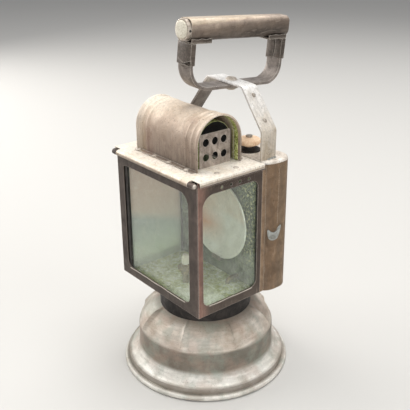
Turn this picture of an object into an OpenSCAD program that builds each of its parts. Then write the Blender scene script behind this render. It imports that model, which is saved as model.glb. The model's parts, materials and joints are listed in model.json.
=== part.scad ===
// Carbide railway lamp: a gas pot below, a three-window lantern with a hinged roof and smoke cowl above it,
// a water tank behind the lantern and a swivelling carrying handle over a strap bracket.
// Millimetres. The origin is the centre of the foot's underside, +Z is up and the front window faces -Y.

/* [Foot and gas pot] */
// Radius of the foot over its rolled edge
foot_r = 78; // [74:1:88]
// Radius of the rolled edge of the foot
bead_r = 2.3; // [1.8:0.1:2.8]
// Thickness of the plate that closes the foot
foot_plate_t = 1; // [0.8:0.1:1.6]
// Radius of the drum wall of the pot
drum_r = 63.3; // [60:0.1:66]
// Height at which the flange of the foot has turned into the drum wall
drum_base_z = 18; // [15:0.5:21]
// Height of the edge between the drum wall and the shoulder
shoulder_z = 40; // [36:0.5:46]
// Height of the top of the shoulder, where the neck begins
neck_z = 60; // [56:0.5:64]
// Length of the neck above the shoulder
neck_len = 20; // [17:0.5:24]
// Outer radius of the neck
neck_r = 40.7; // [38:0.1:43]
// Wall of the pressed pot
pot_wall = 1.2; // [0.8:0.1:1.5]
// Radius of the shoulder's curve
shoulder_round = 43; // [34:1:80]
// Number of pressed ribs on the shoulder
rib_count = 8; // [4:1:12]
// Radius of one pressed rib
rib_r = 2.2; // [1.4:0.1:2.6]
// Height of the pot's inner floor above the base of the drum
pot_floor_up = 2; // [1.5:0.5:4]
// Thickness of the rubber gasket on the neck
gasket_t = 3.6; // [2.5:0.1:5]
// Radius of a bayonet stud
stud_r = 2.2; // [1.6:0.1:2.8]

/* [Carbide basket] */
// Radial gap between the rim of the basket and the lip of the neck
basket_gap = 1.2; // [0.6:0.1:4]
// Headroom between the basket and the neck
basket_head = 3; // [2:0.5:12]
// Wall of the basket
basket_wall = 0.8; // [0.6:0.1:1.2]
// Radius of one hole in the basket's screen
screen_hole_r = 2.2; // [1.5:0.1:2.6]

/* [Lantern case] */
// Width of the case
case_w = 112.5; // [104:0.5:120]
// Depth of the case
case_d = 69.5; // [64:0.1:76]
// Place of the front face, measured forward from the pot's axis
case_front = 53.1; // [50:0.1:56]
// Height of the case from its bottom edge to the top of the roof plate
case_h = 122.1; // [112:0.1:134]
// Thickness of the sheet metal of the case
sheet_t = 0.8; // [0.6:0.1:1]
// Thickness of the base plate of the lantern
base_plate_t = 1; // [0.8:0.1:1.6]
// Wall of the bayonet collar under the lantern
collar_wall = 1.5; // [1.2:0.1:2]
// Twist that frees the lantern from the pot, degrees
bayonet_turn = 40; // [20:1:60]

/* [Windows] */
// Width of the stile on the left of the front window
front_stile_left = 8.7; // [6:0.1:10]
// Width of the stile on the right of the front window
front_stile_right = 11.7; // [9:0.1:14]
// Width of the side window's front stile
side_stile_front = 5.6; // [5:0.1:10]
// Width of the side window's rear stile
side_stile_rear = 4.7; // [4:0.1:9]
// Height of the sill below the windows
sill_h = 9; // [7:0.1:14]
// Height of the rail above the windows, up to the roof plate
head_h = 13.9; // [12:0.1:17]
// Corner radius of the windows
window_corner_r = 6.5; // [4:0.5:9]
// Radius of the wider corners beside the front right post
window_wide_r = 11; // [8:0.5:14]
// Radius of the tight corner at the top left of the front window
window_tight_r = 3; // [2:0.5:5]
// Height of the turned lip below each window
lip_h = 1.2; // [0.6:0.1:2]
// Reach of the turned lip out of the panel
lip_out = 0.8; // [0.3:0.1:1.2]
// Thickness of the panes
glass_t = 2.4; // [1.8:0.1:3]
// Gap between a panel and its pane
glass_setback = 1.1; // [0.8:0.1:1.6]
// Cover that the pane channels give over the edge of the glass
channel_cover = 2.6; // [2:0.1:3.4]
// Distance of the front pane's left edge inside the case
front_pane_in = 10.9; // [9:0.1:11]
// Radius of a vent hole in the side panels
vent_r = 1.3; // [0.8:0.1:1.6]
// Number of vent holes in each side panel
vent_count = 4; // [2:1:8]

/* [Roof and cowl] */
// Overhang of the roof over the sides of the case
roof_overhang = 3.8; // [3:0.1:5]
// Height of the roof's side skirt
skirt_h = 3.6; // [3:0.1:4.2]
// Outer radius of the hinge knuckles
knuckle_r = 2.5; // [2.2:0.1:2.8]
// Radius of the hinge pin
hinge_pin_r = 1.1; // [0.9:0.05:1.3]
// Width of the curled ears of the front panel that hold the pin
ear_w = 6; // [4:0.5:12]
// Distance by which the roof stops short of the rear of the case
roof_short = 1.3; // [1:0.1:2]
// Length of the cowl over its rims
cowl_len = 84.5; // [74:0.5:96]
// Place of the cowl's middle along the width of the case
cowl_x = -0.75; // [-3:0.05:3]
// Place of the cowl's middle behind the front face
cowl_back = 35.7; // [33:0.1:37]
// Outer radius of the cowl's barrel
cowl_r = 22.5; // [20:0.1:24]
// Height of the barrel's axis above the roof
cowl_axis_h = 20.3; // [16:0.1:24]
// Height of the rolled rims over the barrel
cowl_rim_h = 1.4; // [0.8:0.1:2]
// Width of the rolled rims
cowl_rim_w = 2.6; // [1.6:0.1:4]
// Distance from a rim to the middle of its pair of swaged beads
swage_in = 12; // [8:0.1:16]
// Space between the barrel and the flue inside it
flue_gap = 5.1; // [4:0.1:6.5]
// Distance of the end plates inside the cowl's rims
end_plate_in = 6; // [4:0.1:9]
// Height of the end plates
end_plate_h = 28.2; // [24:0.1:31]
// Radius of the smoke holes in the end plates
smoke_hole_r = 3.25; // [2:0.05:3.8]

/* [Burner and reflector] */
// Distance of the burner in front of the pot's axis
burner_front = 21.5; // [14:0.5:28]
// Height of the burner's tip above the base plate
burner_h = 32.5; // [28:0.5:42]
// Outer radius of the gas tube
gas_tube_r = 3; // [2.4:0.1:4]
// Radius of the reflector
reflector_r = 36.5; // [30:0.5:40]
// Depth of the reflector's dish
reflector_depth = 5.5; // [3:0.1:7]
// Height of the reflector's centre above the base plate
reflector_h = 56.5; // [50:0.5:60]
// Place of the reflector along the width, from the middle
reflector_x = 6; // [0:0.5:8]

/* [Water tank] */
// Depth of the tank
tank_d = 33; // [30:0.1:38]
// Bulge of the tank's sides past the sides of the case
tank_bulge = 3.8; // [2:0.1:5]
// Radius of the tank's rear corners
tank_corner_r = 13; // [8:0.5:14]
// Radius of the rounded edge around the top of the tank
tank_edge_r = 2.5; // [2:0.1:2.6]
// Place of the valve along the width, from the middle
valve_x = 25.5; // [20:0.5:30]
// Place of the filler along the width, from the middle
filler_x = 25; // [20:0.5:30]
// Radius of the valve knob
knob_r = 10.3; // [7:0.1:11]
// Height of the valve knob
knob_h = 8; // [6:0.1:11]
// Radius of the valve needle
needle_r = 1.5; // [1.2:0.05:1.8]
// Rise of the needle for one turn of the knob
needle_pitch = 1; // [0.5:0.05:1.5]
// Inner radius of the filler neck
filler_r = 6; // [4.5:0.1:7]

/* [Handle] */
// Width of the strap of the bracket
strap_w = 16.6; // [14:0.1:18.5]
// Thickness of the strap of the bracket
strap_t = 2; // [1.2:0.1:2]
// Height of the bracket's flat top above the roof
bracket_h = 59; // [56:0.1:72]
// Half of the length of the bracket's flat top
bracket_top = 21.5; // [18:0.1:26]
// Sideways shift of the bracket's top
bracket_lean = 5.8; // [0:0.1:9]
// Distance of the bracket's legs inside the sides of the case
leg_inset = 4.8; // [4:0.1:9]
// Height of the bends of the bracket's legs above the roof
bracket_bend_h = 19; // [14:0.1:26]
// Height by which the bend on the valve side is above the middle height and the other bend below it
bend_skew = 5; // [0:0.1:6]
// Length of the strap's ends inside the tank, below the roof
strap_tail = 26; // [12:1:60]
// Width of the handle's band
band_w = 16; // [13:0.1:18]
// Thickness of the handle's band
band_t = 3; // [2:0.1:3.4]
// Half of the length of the handle's band
band_half = 51; // [47:0.5:55]
// Distance of the swivel from the middle of the band
band_off = 1; // [0:0.5:3]
// Radius of the band's front bend
band_front_r = 21; // [12:0.5:24]
// Radius of the band's rear bend
band_rear_r = 16; // [12:0.5:24]
// Height of the grip's axis above the underside of the band
grip_h = 48.9; // [45:0.1:60]
// Width of the grip
grip_w = 16.4; // [14:0.1:18]
// Height of the grip
grip_t = 17.6; // [15:0.1:20]
// Radius of the grip's rounded edges
grip_edge_r = 6.2; // [4:0.1:7]
// Reach of the grip past the band at the front
grip_reach = 4.9; // [4:0.1:10]
// Wall of the sheaths that clasp the band's legs
sheath_t = 0.8; // [0.6:0.1:1]
// Backward lean of the bracket and the handle, degrees
handle_tilt = 4; // [0:0.5:4]
// Downward slope of the bracket's top towards the valve side, degrees
bracket_slope = 3; // [0:0.5:4]
// Radius of the swivel rivet
swivel_r = 3; // [2:0.1:3.5]

/* [Clearances] */
// Gap between soldered or seated pieces
seat_gap = 0.05; // [0.02:0.01:0.08]
// Radial gap in a turning or sliding fit
run_gap = 0.05; // [0.03:0.01:0.1]
// Gap between pieces that move past each other
free_gap = 0.3; // [0.2:0.05:0.4]

/* [Hidden] */
$fn = 64;

// Heights
neck_top_z = neck_z + neck_len;
base_z = neck_top_z + gasket_t + free_gap + 0.7;
base_top_z = base_z + base_plate_t;
roof_z = base_z + case_h;
roof_under_z = roof_z - sheet_t;
skirt_z = roof_z - skirt_h;

// Pot
flange_r = foot_r - 1.6 * bead_r;
foot_plate_r = foot_r - bead_r - sqrt(bead_r * bead_r - pow(bead_r - foot_plate_t, 2)) - seat_gap;
flange_z = max(0.9 * bead_r, foot_plate_t + pot_wall + seat_gap);
fillet_r = 4.5;
edge_r = 3.5;
shoulder_top_r = neck_r + collar_wall + free_gap + 0.6;
pot_bore_r = drum_r - pot_wall;
collar_bore_r = neck_r + free_gap;
collar_r = collar_bore_r + collar_wall;
collar_z = neck_z + free_gap;
lip_r = neck_r - 3;
stud_z = neck_z + 0.5 * neck_len;
stud_count = 3;
groove_t = 0.9;
slot_half = stud_r + free_gap;
slot_angle = asin(slot_half / collar_r);
stud_angle = 21;
rib_angle = -15;
rib_sink = 0.9;
pot_floor_z = drum_base_z + pot_floor_up;
basket_rim = 0.9;
basket_r = lip_r - basket_gap - basket_rim;
basket_z = pot_floor_z + 1 + seat_gap;
basket_h = neck_z - basket_head - basket_z;

// Lantern
half_w = case_w / 2;
front_y = -case_front;
back_y = front_y + case_d;
inner_front_y = front_y + sheet_t;
panel_top_z = roof_under_z - free_gap;
window_z0 = base_z + sill_h;
window_z1 = roof_z - head_h;
front_win_x0 = -half_w + front_stile_left;
front_win_x1 = half_w - front_stile_right;
front_radii = [window_corner_r, window_corner_r, window_wide_r, window_tight_r];
side_radii = [window_corner_r, window_corner_r, window_corner_r, window_wide_r];
side_win_y0 = front_y + side_stile_front;
side_win_y1 = back_y - side_stile_rear;
glass_top_z = panel_top_z - 2;
glass_z = base_top_z + seat_gap;
channel_t = 0.6;
front_glass_x0 = -half_w + front_pane_in;
front_glass_x1 = half_w - sheet_t - glass_setback - glass_t - 3.4;
side_glass_y0 = inner_front_y + glass_setback + 1.2;
side_glass_y1 = back_y - sheet_t - channel_t - free_gap - 0.4;
vent_z = window_z1 + 3.4;
vent_y0 = front_y + 25.5;
vent_y1 = back_y - 15.3;
vent_pitch = (vent_y1 - vent_y0) / (vent_count - 1);
ledge_z = skirt_z - free_gap - 1.2;
ledge_reach = roof_overhang - 0.5;

// Hinge of the roof
hinge_y = front_y - knuckle_r - free_gap;
hinge_z = roof_z - knuckle_r - 0.3;
roll_half = half_w - ear_w - free_gap;
roof_half_w = half_w + roof_overhang;
roof_back_y = back_y - roof_short;

// Cowl
cowl_y = front_y + cowl_back;
cowl_x0 = cowl_x - cowl_len / 2;
cowl_x1 = cowl_x + cowl_len / 2;
cowl_z = roof_z + cowl_axis_h;
flue_r = cowl_r - sheet_t - flue_gap;
flue_x0 = cowl_x0 + end_plate_in + sheet_t + seat_gap;
flue_x1 = cowl_x1 - end_plate_in - sheet_t - seat_gap;
rivet_r = 0.9;
rivet_head_r = 2;
rivet_head_h = 1;
foot_reach = 5;
rivet_spots = [-0.43, -0.15, 0.09, 0.37];
side_rivet_x = half_w - 5.5;
swage_half = 3.6;
swage_w = 2.2;

// Burner, reflector
burner_y = -burner_front;
tip_z = base_top_z + burner_h;
holder_z = tip_z - 19;
reflector_z = base_top_z + reflector_h;
reflector_rim_y = back_y - sheet_t - 1.8 - reflector_depth;

// Tank
tank_half_w = half_w + tank_bulge;
tank_front_y = back_y + seat_gap;
tank_back_y = tank_front_y + tank_d;
flank_y0 = tank_front_y + 3.9;
flank_y1 = tank_front_y + 14.6;
flank_r = (tank_bulge * tank_bulge + pow(flank_y1 - flank_y0, 2)) / (2 * tank_bulge);
cap_z = roof_z - tank_edge_r;
valve_y = tank_front_y + 12.5;
strap_y = tank_front_y + sheet_t + seat_gap + strap_w / 2;
tank_floor_z = base_z + 1;
tank_floor_t = 1;
seat_z = tank_floor_z + tank_floor_t + seat_gap;
seat_r = 4.5;
seat_h = 9;
gland_h = 4;
gland_r = 7.5;
knob_z = roof_z + gland_h + free_gap;
needle_tip_z = seat_z + 5;
needle_top_z = knob_z + knob_h;
drip_r = 2;
drip_z = seat_z + 3;
drip_bend_r = 3.6;
drip_y = back_y - 12;
drip_end_z = neck_z + 1;

// Handle
leg_x = half_w - leg_inset;
top_z = roof_z + bracket_h;
left_bend_z = roof_z + bracket_bend_h - bend_skew;
right_bend_z = roof_z + bracket_bend_h + bend_skew;
tail_z = roof_z - strap_tail;
blob_y = tank_front_y + 12;
blob_z = base_z + 55.5;
solder_run = [[-7.5, 4.5], [-6, -4], [-4, -6], [3, -5], [5.5, 0], [7.5, 7], [6, 7.5], [3, 2.5], [-2.5, 1],
              [-5.5, 3.5]];
slope_dz = bracket_top * tan(bracket_slope);
band_top_w = -strap_t - free_gap;
band_under_w = band_top_w - band_t;
washer_r = swivel_r + 3.2;
sheath_w = 21.5;
sheath_v = 3;
flange_len = 20.5;
flange_t = 1.4;
flange_lip = 3;
band_front = -band_half - band_off;
band_back = band_half - band_off;
grip_front = band_front - grip_reach;
grip_back = band_back + 4.2;
saddle_z = grip_h - grip_t / 2 - flange_t - seat_gap;
band_top = saddle_z - seat_gap;
collar_len = 3.7;
tube_len = grip_back - grip_front - collar_len;
collar_r_out = 8.5;
dowel_r = 7.2;
dowel_out = 1.5;
nail_r = 1;
grip_wall = 0.7;

// Points of an arc
function arc(cx, cy, r, a0, a1, n) =
    [for (i = [0 : n]) [cx + r * cos(a0 + (a1 - a0) * i / n), cy + r * sin(a0 + (a1 - a0) * i / n)]];
function unit(v) = v / norm(v);
function left_of(d) = [-d[1], d[0]];

// The point beside the i-th point of an open line, a distance t to the left of the line
function beside(p, i, t) =
    let (a = i == 0 ? unit(p[1] - p[0]) : unit(p[i] - p[i - 1]),
         b = i == len(p) - 1 ? a : unit(p[i + 1] - p[i]),
         m = unit(left_of(a) + left_of(b)))
    p[i] + m * t / (m * left_of(a));

// The outline of a sheet of thickness t that lies to the left of an open line
function sheet(p, t) = concat(p, [for (i = [len(p) - 1 : -1 : 0]) beside(p, i, t)]);

// A rectangle with four rounded corners, from its low corner
module rounded_rect(w, h, r) {
    translate([r, 0]) square([w - 2 * r, h]);
    translate([0, r]) square([w, h - 2 * r]);
    for (x = [r, w - r], y = [r, h - r]) translate([x, y]) circle(r);
}

// A flat shape of the XZ plane made thick towards +Y
module stand_xz(y, t) translate([0, y + t, 0]) rotate([90, 0, 0]) linear_extrude(t) children();

// A flat shape of the YZ plane made thick towards +X
module stand_yz(x, t) translate([x, 0, 0]) rotate([90, 0, 90]) linear_extrude(t) children();

module ring(r_out, r_in, h) {
    difference() {
        cylinder(r = r_out, h = h);
        translate([0, 0, -1]) cylinder(r = r_in, h = h + 2);
    }
}

// Foot and gas pot
flange_line = [for (i = [0 : 8]) [flange_r - (flange_r - drum_r - fillet_r) * i / 8,
                                  flange_z + (drum_base_z - fillet_r - flange_z) * pow(i / 8, 1.6)]];
shoulder_low = [drum_r - 1.2, shoulder_z + 1.6];
shoulder_high = [shoulder_top_r, neck_z];
shoulder_run = shoulder_high - shoulder_low;
shoulder_mid = (shoulder_high + shoulder_low) / 2;
shoulder_deep = sqrt(shoulder_round * shoulder_round - shoulder_run * shoulder_run / 4);
shoulder_c = shoulder_mid + unit(left_of(shoulder_run)) * shoulder_deep;
shoulder_a0 = atan2(shoulder_low[1] - shoulder_c[1], shoulder_low[0] - shoulder_c[0]);
shoulder_a1 = atan2(shoulder_high[1] - shoulder_c[1], shoulder_high[0] - shoulder_c[0]);
pot_line = concat(
    flange_line,
    [[drum_r + 0.35 * fillet_r, drum_base_z - 0.62 * fillet_r], [drum_r, drum_base_z + 0.2 * fillet_r]],
    [[drum_r, shoulder_z - 2], [drum_r - 0.3, shoulder_z]],
    arc(shoulder_c[0], shoulder_c[1], shoulder_round, shoulder_a0, shoulder_a1, 8),
    [[neck_r, neck_z + 0.1], [neck_r, neck_top_z]]);

module pot_shell() color("#a39a88") {
    rotate_extrude($fn = 128) polygon(sheet(pot_line, pot_wall));
    translate([0, 0, bead_r])
        rotate_extrude($fn = 128) translate([foot_r - bead_r, 0]) circle(bead_r, $fn = 24);
    for (i = [0 : rib_count - 1])
        rotate([0, 0, rib_angle + i * 360 / rib_count]) shoulder_rib();
    translate([0, 0, neck_top_z - pot_wall]) ring(neck_r - 0.5, lip_r, pot_wall);
}

module shoulder_rib() {
    translate([shoulder_c[0], 0, shoulder_c[1]]) rotate([90, 0, 0]) rotate([0, 0, shoulder_a0])
        rotate_extrude(angle = shoulder_a1 - shoulder_a0 - 1, $fn = 128)
            translate([shoulder_round - rib_sink, 0]) circle(rib_r, $fn = 24);
    translate([shoulder_low[0], 0, shoulder_low[1]]) translate([-rib_sink, 0, -rib_sink]) sphere(rib_r, $fn = 24);
}

module foot_plate() color("#8c8373") {
    cylinder(r = foot_plate_r, h = foot_plate_t, $fn = 128);
}

module pot_floor() color("#8c8373") {
    translate([0, 0, pot_floor_z]) cylinder(r = pot_bore_r - seat_gap, h = 1, $fn = 96);
}

module bayonet_studs() color("#5a5148") {
    for (i = [0 : stud_count - 1])
        rotate([0, 0, stud_angle + i * 360 / stud_count])
            translate([neck_r + seat_gap, 0, stud_z]) rotate([0, 90, 0])
                cylinder(r = stud_r, h = free_gap + groove_t - 0.3, $fn = 32);
}

module neck_gasket() color("#2a2927") {
    translate([0, 0, neck_top_z + seat_gap]) ring(neck_r - 0.2, lip_r - 0.5, gasket_t);
}

// Carbide basket
module carbide_basket() color("#77706a") {
    translate([0, 0, basket_z]) difference() {
        union() {
            cylinder(r = basket_r, h = basket_h);
            translate([0, 0, basket_h - 2]) cylinder(r = basket_r + basket_rim, h = 2);
        }
        translate([0, 0, basket_wall]) cylinder(r = basket_r - basket_wall, h = basket_h);
    }
}

module basket_screen() color("#8e8778") {
    translate([0, 0, basket_z + basket_h - 6]) difference() {
        union() {
            cylinder(r = basket_r - basket_wall - seat_gap, h = 0.8);
            ring(basket_r - basket_wall - seat_gap, basket_r - basket_wall - 1.2, 5);
            cylinder(r = 2, h = 5, $fn = 24);
        }
        for (row = [1 : 3], i = [0 : 6 * row - 1])
            rotate([0, 0, i * 60 / row]) translate([row * basket_r / 4.2, 0, -1]) cylinder(r = screen_hole_r, h = 3, $fn = 16);
    }
}

// Bayonet collar and base plate of the lantern
module lantern_collar() color("#2f2b27") {
    difference() {
        union() {
            translate([0, 0, collar_z]) cylinder(r = collar_r, h = base_z - seat_gap - collar_z, $fn = 96);
            translate([0, 0, base_z - seat_gap - 1.2]) cylinder(r = collar_r + 1, h = 1.2, $fn = 96);
        }
        translate([0, 0, collar_z - 1]) cylinder(r = collar_bore_r, h = base_z, $fn = 96);
        for (i = [0 : stud_count - 1]) rotate([0, 0, stud_angle + i * 360 / stud_count]) bayonet_slot();
    }
}

// The grooves are cut from inside and leave the outside of the collar whole
module bayonet_slot() {
    translate([0, 0, stud_z - slot_half]) rotate([0, 0, -bayonet_turn - slot_angle])
        rotate_extrude(angle = bayonet_turn + 2 * slot_angle)
            translate([collar_bore_r - 0.5, 0]) square([groove_t + 0.5, 2 * slot_half]);
    translate([0, 0, collar_z - 1]) rotate([0, 0, -bayonet_turn - slot_angle])
        rotate_extrude(angle = 2 * slot_angle)
            translate([collar_bore_r - 0.5, 0]) square([groove_t + 0.5, stud_z - collar_z + 1]);
}

module base_plate() color("#6f6a4e") {
    translate([0, 0, base_z]) difference() {
        translate([-half_w + sheet_t + seat_gap, inner_front_y + seat_gap, 0])
            cube([case_w - 2 * sheet_t - 2 * seat_gap, case_d - sheet_t - 2 * seat_gap, base_plate_t]);
        translate([0, burner_y, -1]) cylinder(r = gas_tube_r + seat_gap, h = base_plate_t + 2);
        translate([valve_x, drip_y, -1]) cylinder(r = drip_r + seat_gap, h = base_plate_t + 2);
    }
}

// Panels of the case. The radii run from the low left corner of the window counterclockwise.
module window_shape(w, h, r) {
    difference() {
        square([w, h]);
        corner_cut(0, 0, 0, r[0]);
        corner_cut(w, 0, 90, r[1]);
        corner_cut(w, h, 180, r[2]);
        corner_cut(0, h, 270, r[3]);
    }
}
module corner_cut(x, y, a, r) translate([x, y]) rotate(a) difference() {
    translate([-1, -1]) square([r + 1, r + 1]);
    translate([r, r]) circle(r);
}
module window_panel(w, h, x0, x1, z0, z1, r) {
    difference() {
        square([w, h]);
        translate([x0, z0]) window_shape(x1 - x0, z1 - z0, r);
    }
}

module hinge_bore() {
    translate([-half_w - 5, hinge_y, hinge_z]) rotate([0, 90, 0])
        cylinder(r = hinge_pin_r + run_gap, h = case_w + 10, $fn = 32);
}

module roll(x0, x1) {
    translate([x0, hinge_y, hinge_z]) rotate([0, 90, 0]) cylinder(r = knuckle_r, h = x1 - x0, $fn = 32);
}

module front_panel() color("#5e4f43") {
    difference() {
        union() {
            translate([-half_w, 0, base_z]) stand_xz(front_y, sheet_t)
                window_panel(case_w, hinge_z - base_z, front_stile_left, case_w - front_stile_right, sill_h,
                             case_h - head_h, front_radii);
            translate([front_win_x0 + window_corner_r, front_y - lip_out, window_z0 - lip_h])
                cube([front_win_x1 - front_win_x0 - 2 * window_corner_r, lip_out + 0.1, lip_h]);
            for (x = [-half_w, half_w - ear_w]) {
                roll(x, x + ear_w);
                translate([x, hinge_y, hinge_z - knuckle_r])
                    cube([ear_w, front_y + sheet_t - hinge_y, knuckle_r]);
            }
        }
        hinge_bore();
    }
}

module side_panel() {
    y0 = inner_front_y + seat_gap;
    difference() {
        union() {
            stand_yz(half_w - sheet_t, sheet_t) translate([y0, base_z])
                window_panel(back_y - y0, panel_top_z - base_z, side_win_y0 - y0, side_win_y1 - y0, sill_h,
                             case_h - head_h, side_radii);
            translate([half_w - 0.1, y0, ledge_z]) cube([ledge_reach + 0.1, back_y - y0, 1.2]);
            translate([half_w - 0.1, side_win_y0 + window_corner_r, window_z0 - lip_h])
                cube([lip_out + 0.1, side_win_y1 - side_win_y0 - 2 * window_corner_r, lip_h]);
        }
        for (i = [0 : vent_count - 1])
            translate([half_w - 2, vent_y0 + i * vent_pitch, vent_z])
                rotate([0, 90, 0]) cylinder(r = vent_r, h = 4, $fn = 24);
    }
}

module right_panel() color("#7a5348") side_panel();
module left_panel() color("#5e4f43") mirror([1, 0, 0]) side_panel();

module back_panel() color("#4c4a40") {
    difference() {
        translate([-half_w + sheet_t + seat_gap, back_y - sheet_t, base_top_z + seat_gap])
            cube([case_w - 2 * sheet_t - 2 * seat_gap, sheet_t, panel_top_z - base_top_z - seat_gap]);
        translate([valve_x, back_y - 5, drip_z]) rotate([-90, 0, 0]) cylinder(r = drip_r + seat_gap, h = 10);
        translate([reflector_x, back_y - 5, reflector_z]) rotate([-90, 0, 0])
            cylinder(r = rivet_r + seat_gap, h = 10, $fn = 24);
    }
}

// Panes and their channels
module front_glass() color("#b9c6bd", 0.35) {
    translate([front_glass_x0, inner_front_y + glass_setback, glass_z])
        cube([front_glass_x1 - front_glass_x0, glass_t, glass_top_z - glass_z]);
}

module side_glass() {
    translate([half_w - sheet_t - glass_setback - glass_t, side_glass_y0, glass_z])
        cube([glass_t, side_glass_y1 - side_glass_y0, glass_top_z - glass_z]);
}
module right_glass() color("#b9c6bd", 0.35) side_glass();
module left_glass() color("#b9c6bd", 0.35) mirror([1, 0, 0]) side_glass();

// One channel in plan: the web stands beside the pane's edge and two lips cover its faces.
// The edge of the glass is at the origin and the pane lies towards +X, its front face at y = 0.
module channel_plan() {
    front = -glass_setback + seat_gap;
    back = glass_t + 0.25;
    translate([-free_gap - channel_t, front]) square([channel_t, back + channel_t - front]);
    translate([-free_gap - channel_t, front]) square([channel_cover + channel_t + free_gap, channel_t]);
    translate([-free_gap - channel_t, back]) square([channel_cover * 0.6 + channel_t + free_gap, channel_t]);
}

module channel_post() translate([0, 0, glass_z]) linear_extrude(glass_top_z - glass_z + 1) channel_plan();

module front_channels() color("#4a4036") {
    translate([front_glass_x0, inner_front_y + glass_setback, 0]) channel_post();
    translate([front_glass_x1, inner_front_y + glass_setback, 0]) mirror([1, 0, 0]) channel_post();
}

module side_channels() color("#4a4036") {
    for (side = [0, 1]) mirror([side, 0, 0]) {
        translate([half_w - sheet_t - glass_setback, side_glass_y0, 0]) rotate([0, 0, 90]) channel_post();
        translate([half_w - sheet_t - glass_setback, side_glass_y1, 0]) mirror([0, 1, 0]) rotate([0, 0, 90]) channel_post();
    }
}

// Burner
module gas_tube() color("#8f7a4a") {
    translate([0, burner_y, neck_z + 4]) ring(gas_tube_r, gas_tube_r - 1, holder_z - neck_z - 4);
}

module burner_holder() color("#8f7a4a") {
    translate([0, burner_y, holder_z]) difference() {
        union() {
            translate([0, 0, -5]) cylinder(r = gas_tube_r + 1.2, h = 5, $fn = 6);
            cylinder(r = 7, h = 2.4);
            cylinder(r = 4.4, h = 5);
        }
        translate([0, 0, -6]) cylinder(r = gas_tube_r + seat_gap, h = 6);
        translate([0, 0, -1]) cylinder(r = 2.6 + seat_gap, h = 8);
    }
}

module burner_tip() color("#d9d3c4") {
    translate([0, burner_y, holder_z + 0.4]) difference() {
        union() {
            cylinder(r = 2.6, h = 7);
            translate([0, 0, 5]) cylinder(r = 3.6, h = 6);
            translate([0, 0, 11]) cylinder(r1 = 3.6, r2 = 2.4, h = 2.4);
        }
        translate([0, 0, -1]) cylinder(r = 1, h = 12, $fn = 24);
        translate([-5, -0.4, 12.4]) cube([10, 0.8, 2]);
    }
}

// Reflector
dish_r = (reflector_r * reflector_r + reflector_depth * reflector_depth) / (2 * reflector_depth);
dish_angle = asin(reflector_r / dish_r);
dish_line = concat(
    [for (i = [0 : 12]) [dish_r * sin(dish_angle * i / 12), dish_r * (1 - cos(dish_angle * i / 12))]],
    [[reflector_r + 1.5, reflector_depth + 0.3]]);

module reflector() color("#b3b3a4") {
    translate([reflector_x, reflector_rim_y + reflector_depth + 0.6, reflector_z]) rotate([90, 0, 0])
        rotate_extrude($fn = 96) polygon(concat([[0, 0]], sheet([for (i = [1 : 13]) dish_line[i]], 0.6), [[0, 0.6]]));
}

module reflector_bracket() color("#6a6250") {
    plate_y = back_y - sheet_t - seat_gap - 0.6;
    low_z = reflector_z - reflector_r - 4;
    translate([reflector_x - 6, plate_y, low_z]) cube([12, 0.6, reflector_r + 10]);
    translate([reflector_x - 6, reflector_rim_y - 1.6, low_z]) cube([12, plate_y + 0.6 - reflector_rim_y + 1.6, 0.6]);
    translate([reflector_x - 6, reflector_rim_y - 1.6, low_z]) cube([12, 0.6, 4.4]);
    translate([reflector_x, plate_y - 0.5, reflector_z]) rotate([-90, 0, 0]) {
        cylinder(r = 2, h = 0.6, $fn = 24);
        cylinder(r = rivet_r, h = sheet_t + seat_gap + 1.1, $fn = 24);
    }
}

// Water tank. In plan its sides leave the case straight and then swell out.
module tank_outline(inset, y0) {
    hw = tank_half_w - inset;
    y1 = tank_back_y - inset;
    r = tank_corner_r - inset;
    translate([-hw, flank_y1]) square([2 * hw, y1 - r - flank_y1]);
    translate([-hw + r, flank_y1]) square([2 * hw - 2 * r, y1 - flank_y1]);
    for (x = [-hw + r, hw - r]) translate([x, y1 - r]) circle(r);
    translate([-half_w + inset, y0]) square([case_w - 2 * inset, flank_y1 - y0 + 0.1]);
    for (s = [0, 1]) mirror([s, 0]) intersection() {
        translate([tank_half_w - flank_r, flank_y1]) circle(flank_r - inset, $fn = 128);
        translate([0, flank_y0 - 1.5]) square([tank_half_w + 1, flank_y1 - flank_y0 + 1.5]);
    }
}

// The tank's outline as points, drawn in by an inset, from the front right corner counterclockwise
function tank_line(inset, y0) =
    let (r = flank_r - inset,
         cx = tank_half_w - flank_r,
         a = acos((half_w - inset - cx) / r),
         half = concat([[half_w - inset, y0]], arc(cx, flank_y1, r, -a, 0, 6),
                       arc(tank_half_w - tank_corner_r, tank_back_y - tank_corner_r, tank_corner_r - inset, 0, 90, 10)))
    concat(half, [for (i = [len(half) - 1 : -1 : 0]) [-half[i][0], half[i][1]]]);

// The solid form of the tank's top with its rounded edge, from a distance below that edge
module tank_top(inset, y0, below) {
    r = tank_edge_r - inset;
    levels = concat(below > 0 ? [[inset, cap_z - below]] : [],
                    [for (a = [0 : 15 : 90]) [inset + r * (1 - cos(a)), cap_z + r * sin(a)]]);
    rows = [for (level = levels) [for (p = tank_line(level[0], y0)) [p[0], p[1], level[1]]]];
    n = len(rows[0]);
    last = (len(rows) - 1) * n;
    polyhedron(points = [for (row = rows) each row],
               faces = concat(
                   [[for (i = [0 : n - 1]) i]],
                   [[for (i = [n - 1 : -1 : 0]) last + i]],
                   [for (j = [0 : len(rows) - 2], i = [0 : n - 1], k = [0, 1])
                       let (a = j * n + i, b = a + n, d = j * n + (i + 1) % n, c = d + n)
                       i < n / 2 ? (k == 0 ? [a, b, c] : [a, c, d]) : (k == 0 ? [a, b, d] : [b, c, d])]));
}

module tank_shell() color("#857249") {
    difference() {
        translate([0, 0, base_z]) linear_extrude(cap_z - seat_gap - base_z) tank_outline(0, tank_front_y);
        translate([0, 0, base_z - 1]) linear_extrude(case_h + 2) tank_outline(sheet_t, tank_front_y + sheet_t);
        translate([valve_x, tank_front_y - 1, drip_z]) rotate([-90, 0, 0]) cylinder(r = drip_r + seat_gap, h = 5);
    }
}

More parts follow.
